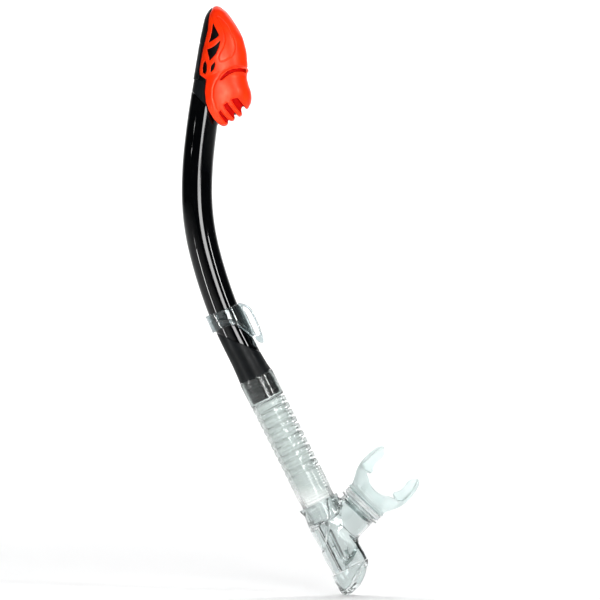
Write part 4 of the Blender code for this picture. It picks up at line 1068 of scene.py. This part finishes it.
# name, azimuth, elevation, distance in m, width, height, power in W and what it is aimed at
LIGHTS = (
    ("strip_front_low", 17, -1.1, 1.5, 0.12, 0.31, 3.6),
    ("strip_front_high", 17, 12.6, 1.5, 0.6, 0.4, 12),
    ("strip_right", 53, 24, 1.5, 0.1, 0.6, 6.5),
    ("strip_right_dash", 53, 0, 1.5, 0.05, 0.03, 0.06),
    ("strip_left", -56, -16, 0.35, 0.022, 0.19, 0.4, (-0.02, 0, 0)),
    ("strip_left_dash_low", -56, -6.2, 1.5, 0.05, 0.045, 0.12),
    ("strip_left_dash_mid", -56, 11.3, 1.5, 0.06, 0.02, 0.09),
    ("strip_left_dash_top", -56, 13.6, 1.5, 0.06, 0.02, 0.09),
    ("overhead", 180, 72, 5.1, 3.8, 2.5, 65),
    ("backdrop_left", -60, 35, 5.6, 3.5, 3.5, 184, (1.4, 5.6, 1.05)),
    ("backdrop_right", 60, 35, 5.6, 3.5, 3.5, 184, (-1.4, 5.6, 1.05)),
)
WORLD_COLOUR, WORLD_STRENGTH = (0.85, 0.95, 1.0, 1), 0.035
VIEW_CENTRE, VIEW_WIDTH, CAMERA_DISTANCE = (0.0394, 0, 0.016), 0.468, 3.5
SENSOR_MM = 36


def studio():
    """A pale seamless floor and backdrop, far enough back for a camera behind the snorkel."""
    path = [(-FLOOR_SIDE, FLOOR_Z), (FLOOR_FLAT, FLOOR_Z)]
    for t in np.linspace(0.1, math.pi / 2, 16):
        path.append((FLOOR_FLAT + FLOOR_BEND * math.sin(t), FLOOR_Z + FLOOR_BEND * (1 - math.cos(t))))
    path.append((FLOOR_FLAT + FLOOR_BEND, FLOOR_TOP))
    verts = [(x, y, z) for y, z in path for x in (-FLOOR_SIDE, FLOOR_SIDE)]
    faces = [(2 * i, 2 * i + 1, 2 * i + 3, 2 * i + 2) for i in range(len(path) - 1)]
    mesh = bpy.data.meshes.new("seamless_floor")
    mesh.from_pydata(verts, [], faces)
    mesh.shade_smooth()
    mesh.materials.append(Look("pale_floor", (0.93, 0.93, 0.93), 0.8).material)
    floor = shown("seamless_floor", mesh)


def panel(name, azimuth, elevation, distance, width, height, power, aim=(0, 0, 0)):
    """A soft rectangular light: azimuth 0 is the camera's side, positive to its right."""
    az, el = math.radians(azimuth), math.radians(elevation)
    way = Vector((math.sin(az) * math.cos(el), -math.cos(az) * math.cos(el), math.sin(el)))
    light = bpy.data.lights.new(name, "AREA")
    light.shape, light.size, light.size_y, light.energy = "RECTANGLE", width, height, power
    obj = shown(name, light)
    obj.location = way * distance + Vector(aim)
    obj.rotation_euler = (-way).to_track_quat("-Z", "Y").to_euler()


studio()
for row in LIGHTS:
    panel(*row)

world = bpy.data.worlds.new("studio_world")
bpy.context.scene.world = world
world.use_nodes = True
world.node_tree.nodes["Background"].inputs["Color"].default_value = WORLD_COLOUR
world.node_tree.nodes["Background"].inputs["Strength"].default_value = WORLD_STRENGTH
bpy.context.scene.view_settings.view_transform = "Standard"

camera = bpy.data.cameras.new("camera")
camera.sensor_width = SENSOR_MM
camera.lens = SENSOR_MM * CAMERA_DISTANCE / VIEW_WIDTH
camera.clip_start, camera.clip_end = 0.1, 20
camera_object = shown("camera", camera)
camera_object.location = (VIEW_CENTRE[0], -CAMERA_DISTANCE, VIEW_CENTRE[2])
camera_object.rotation_euler = (math.pi / 2, 0, 0)
bpy.context.scene.camera = camera_object
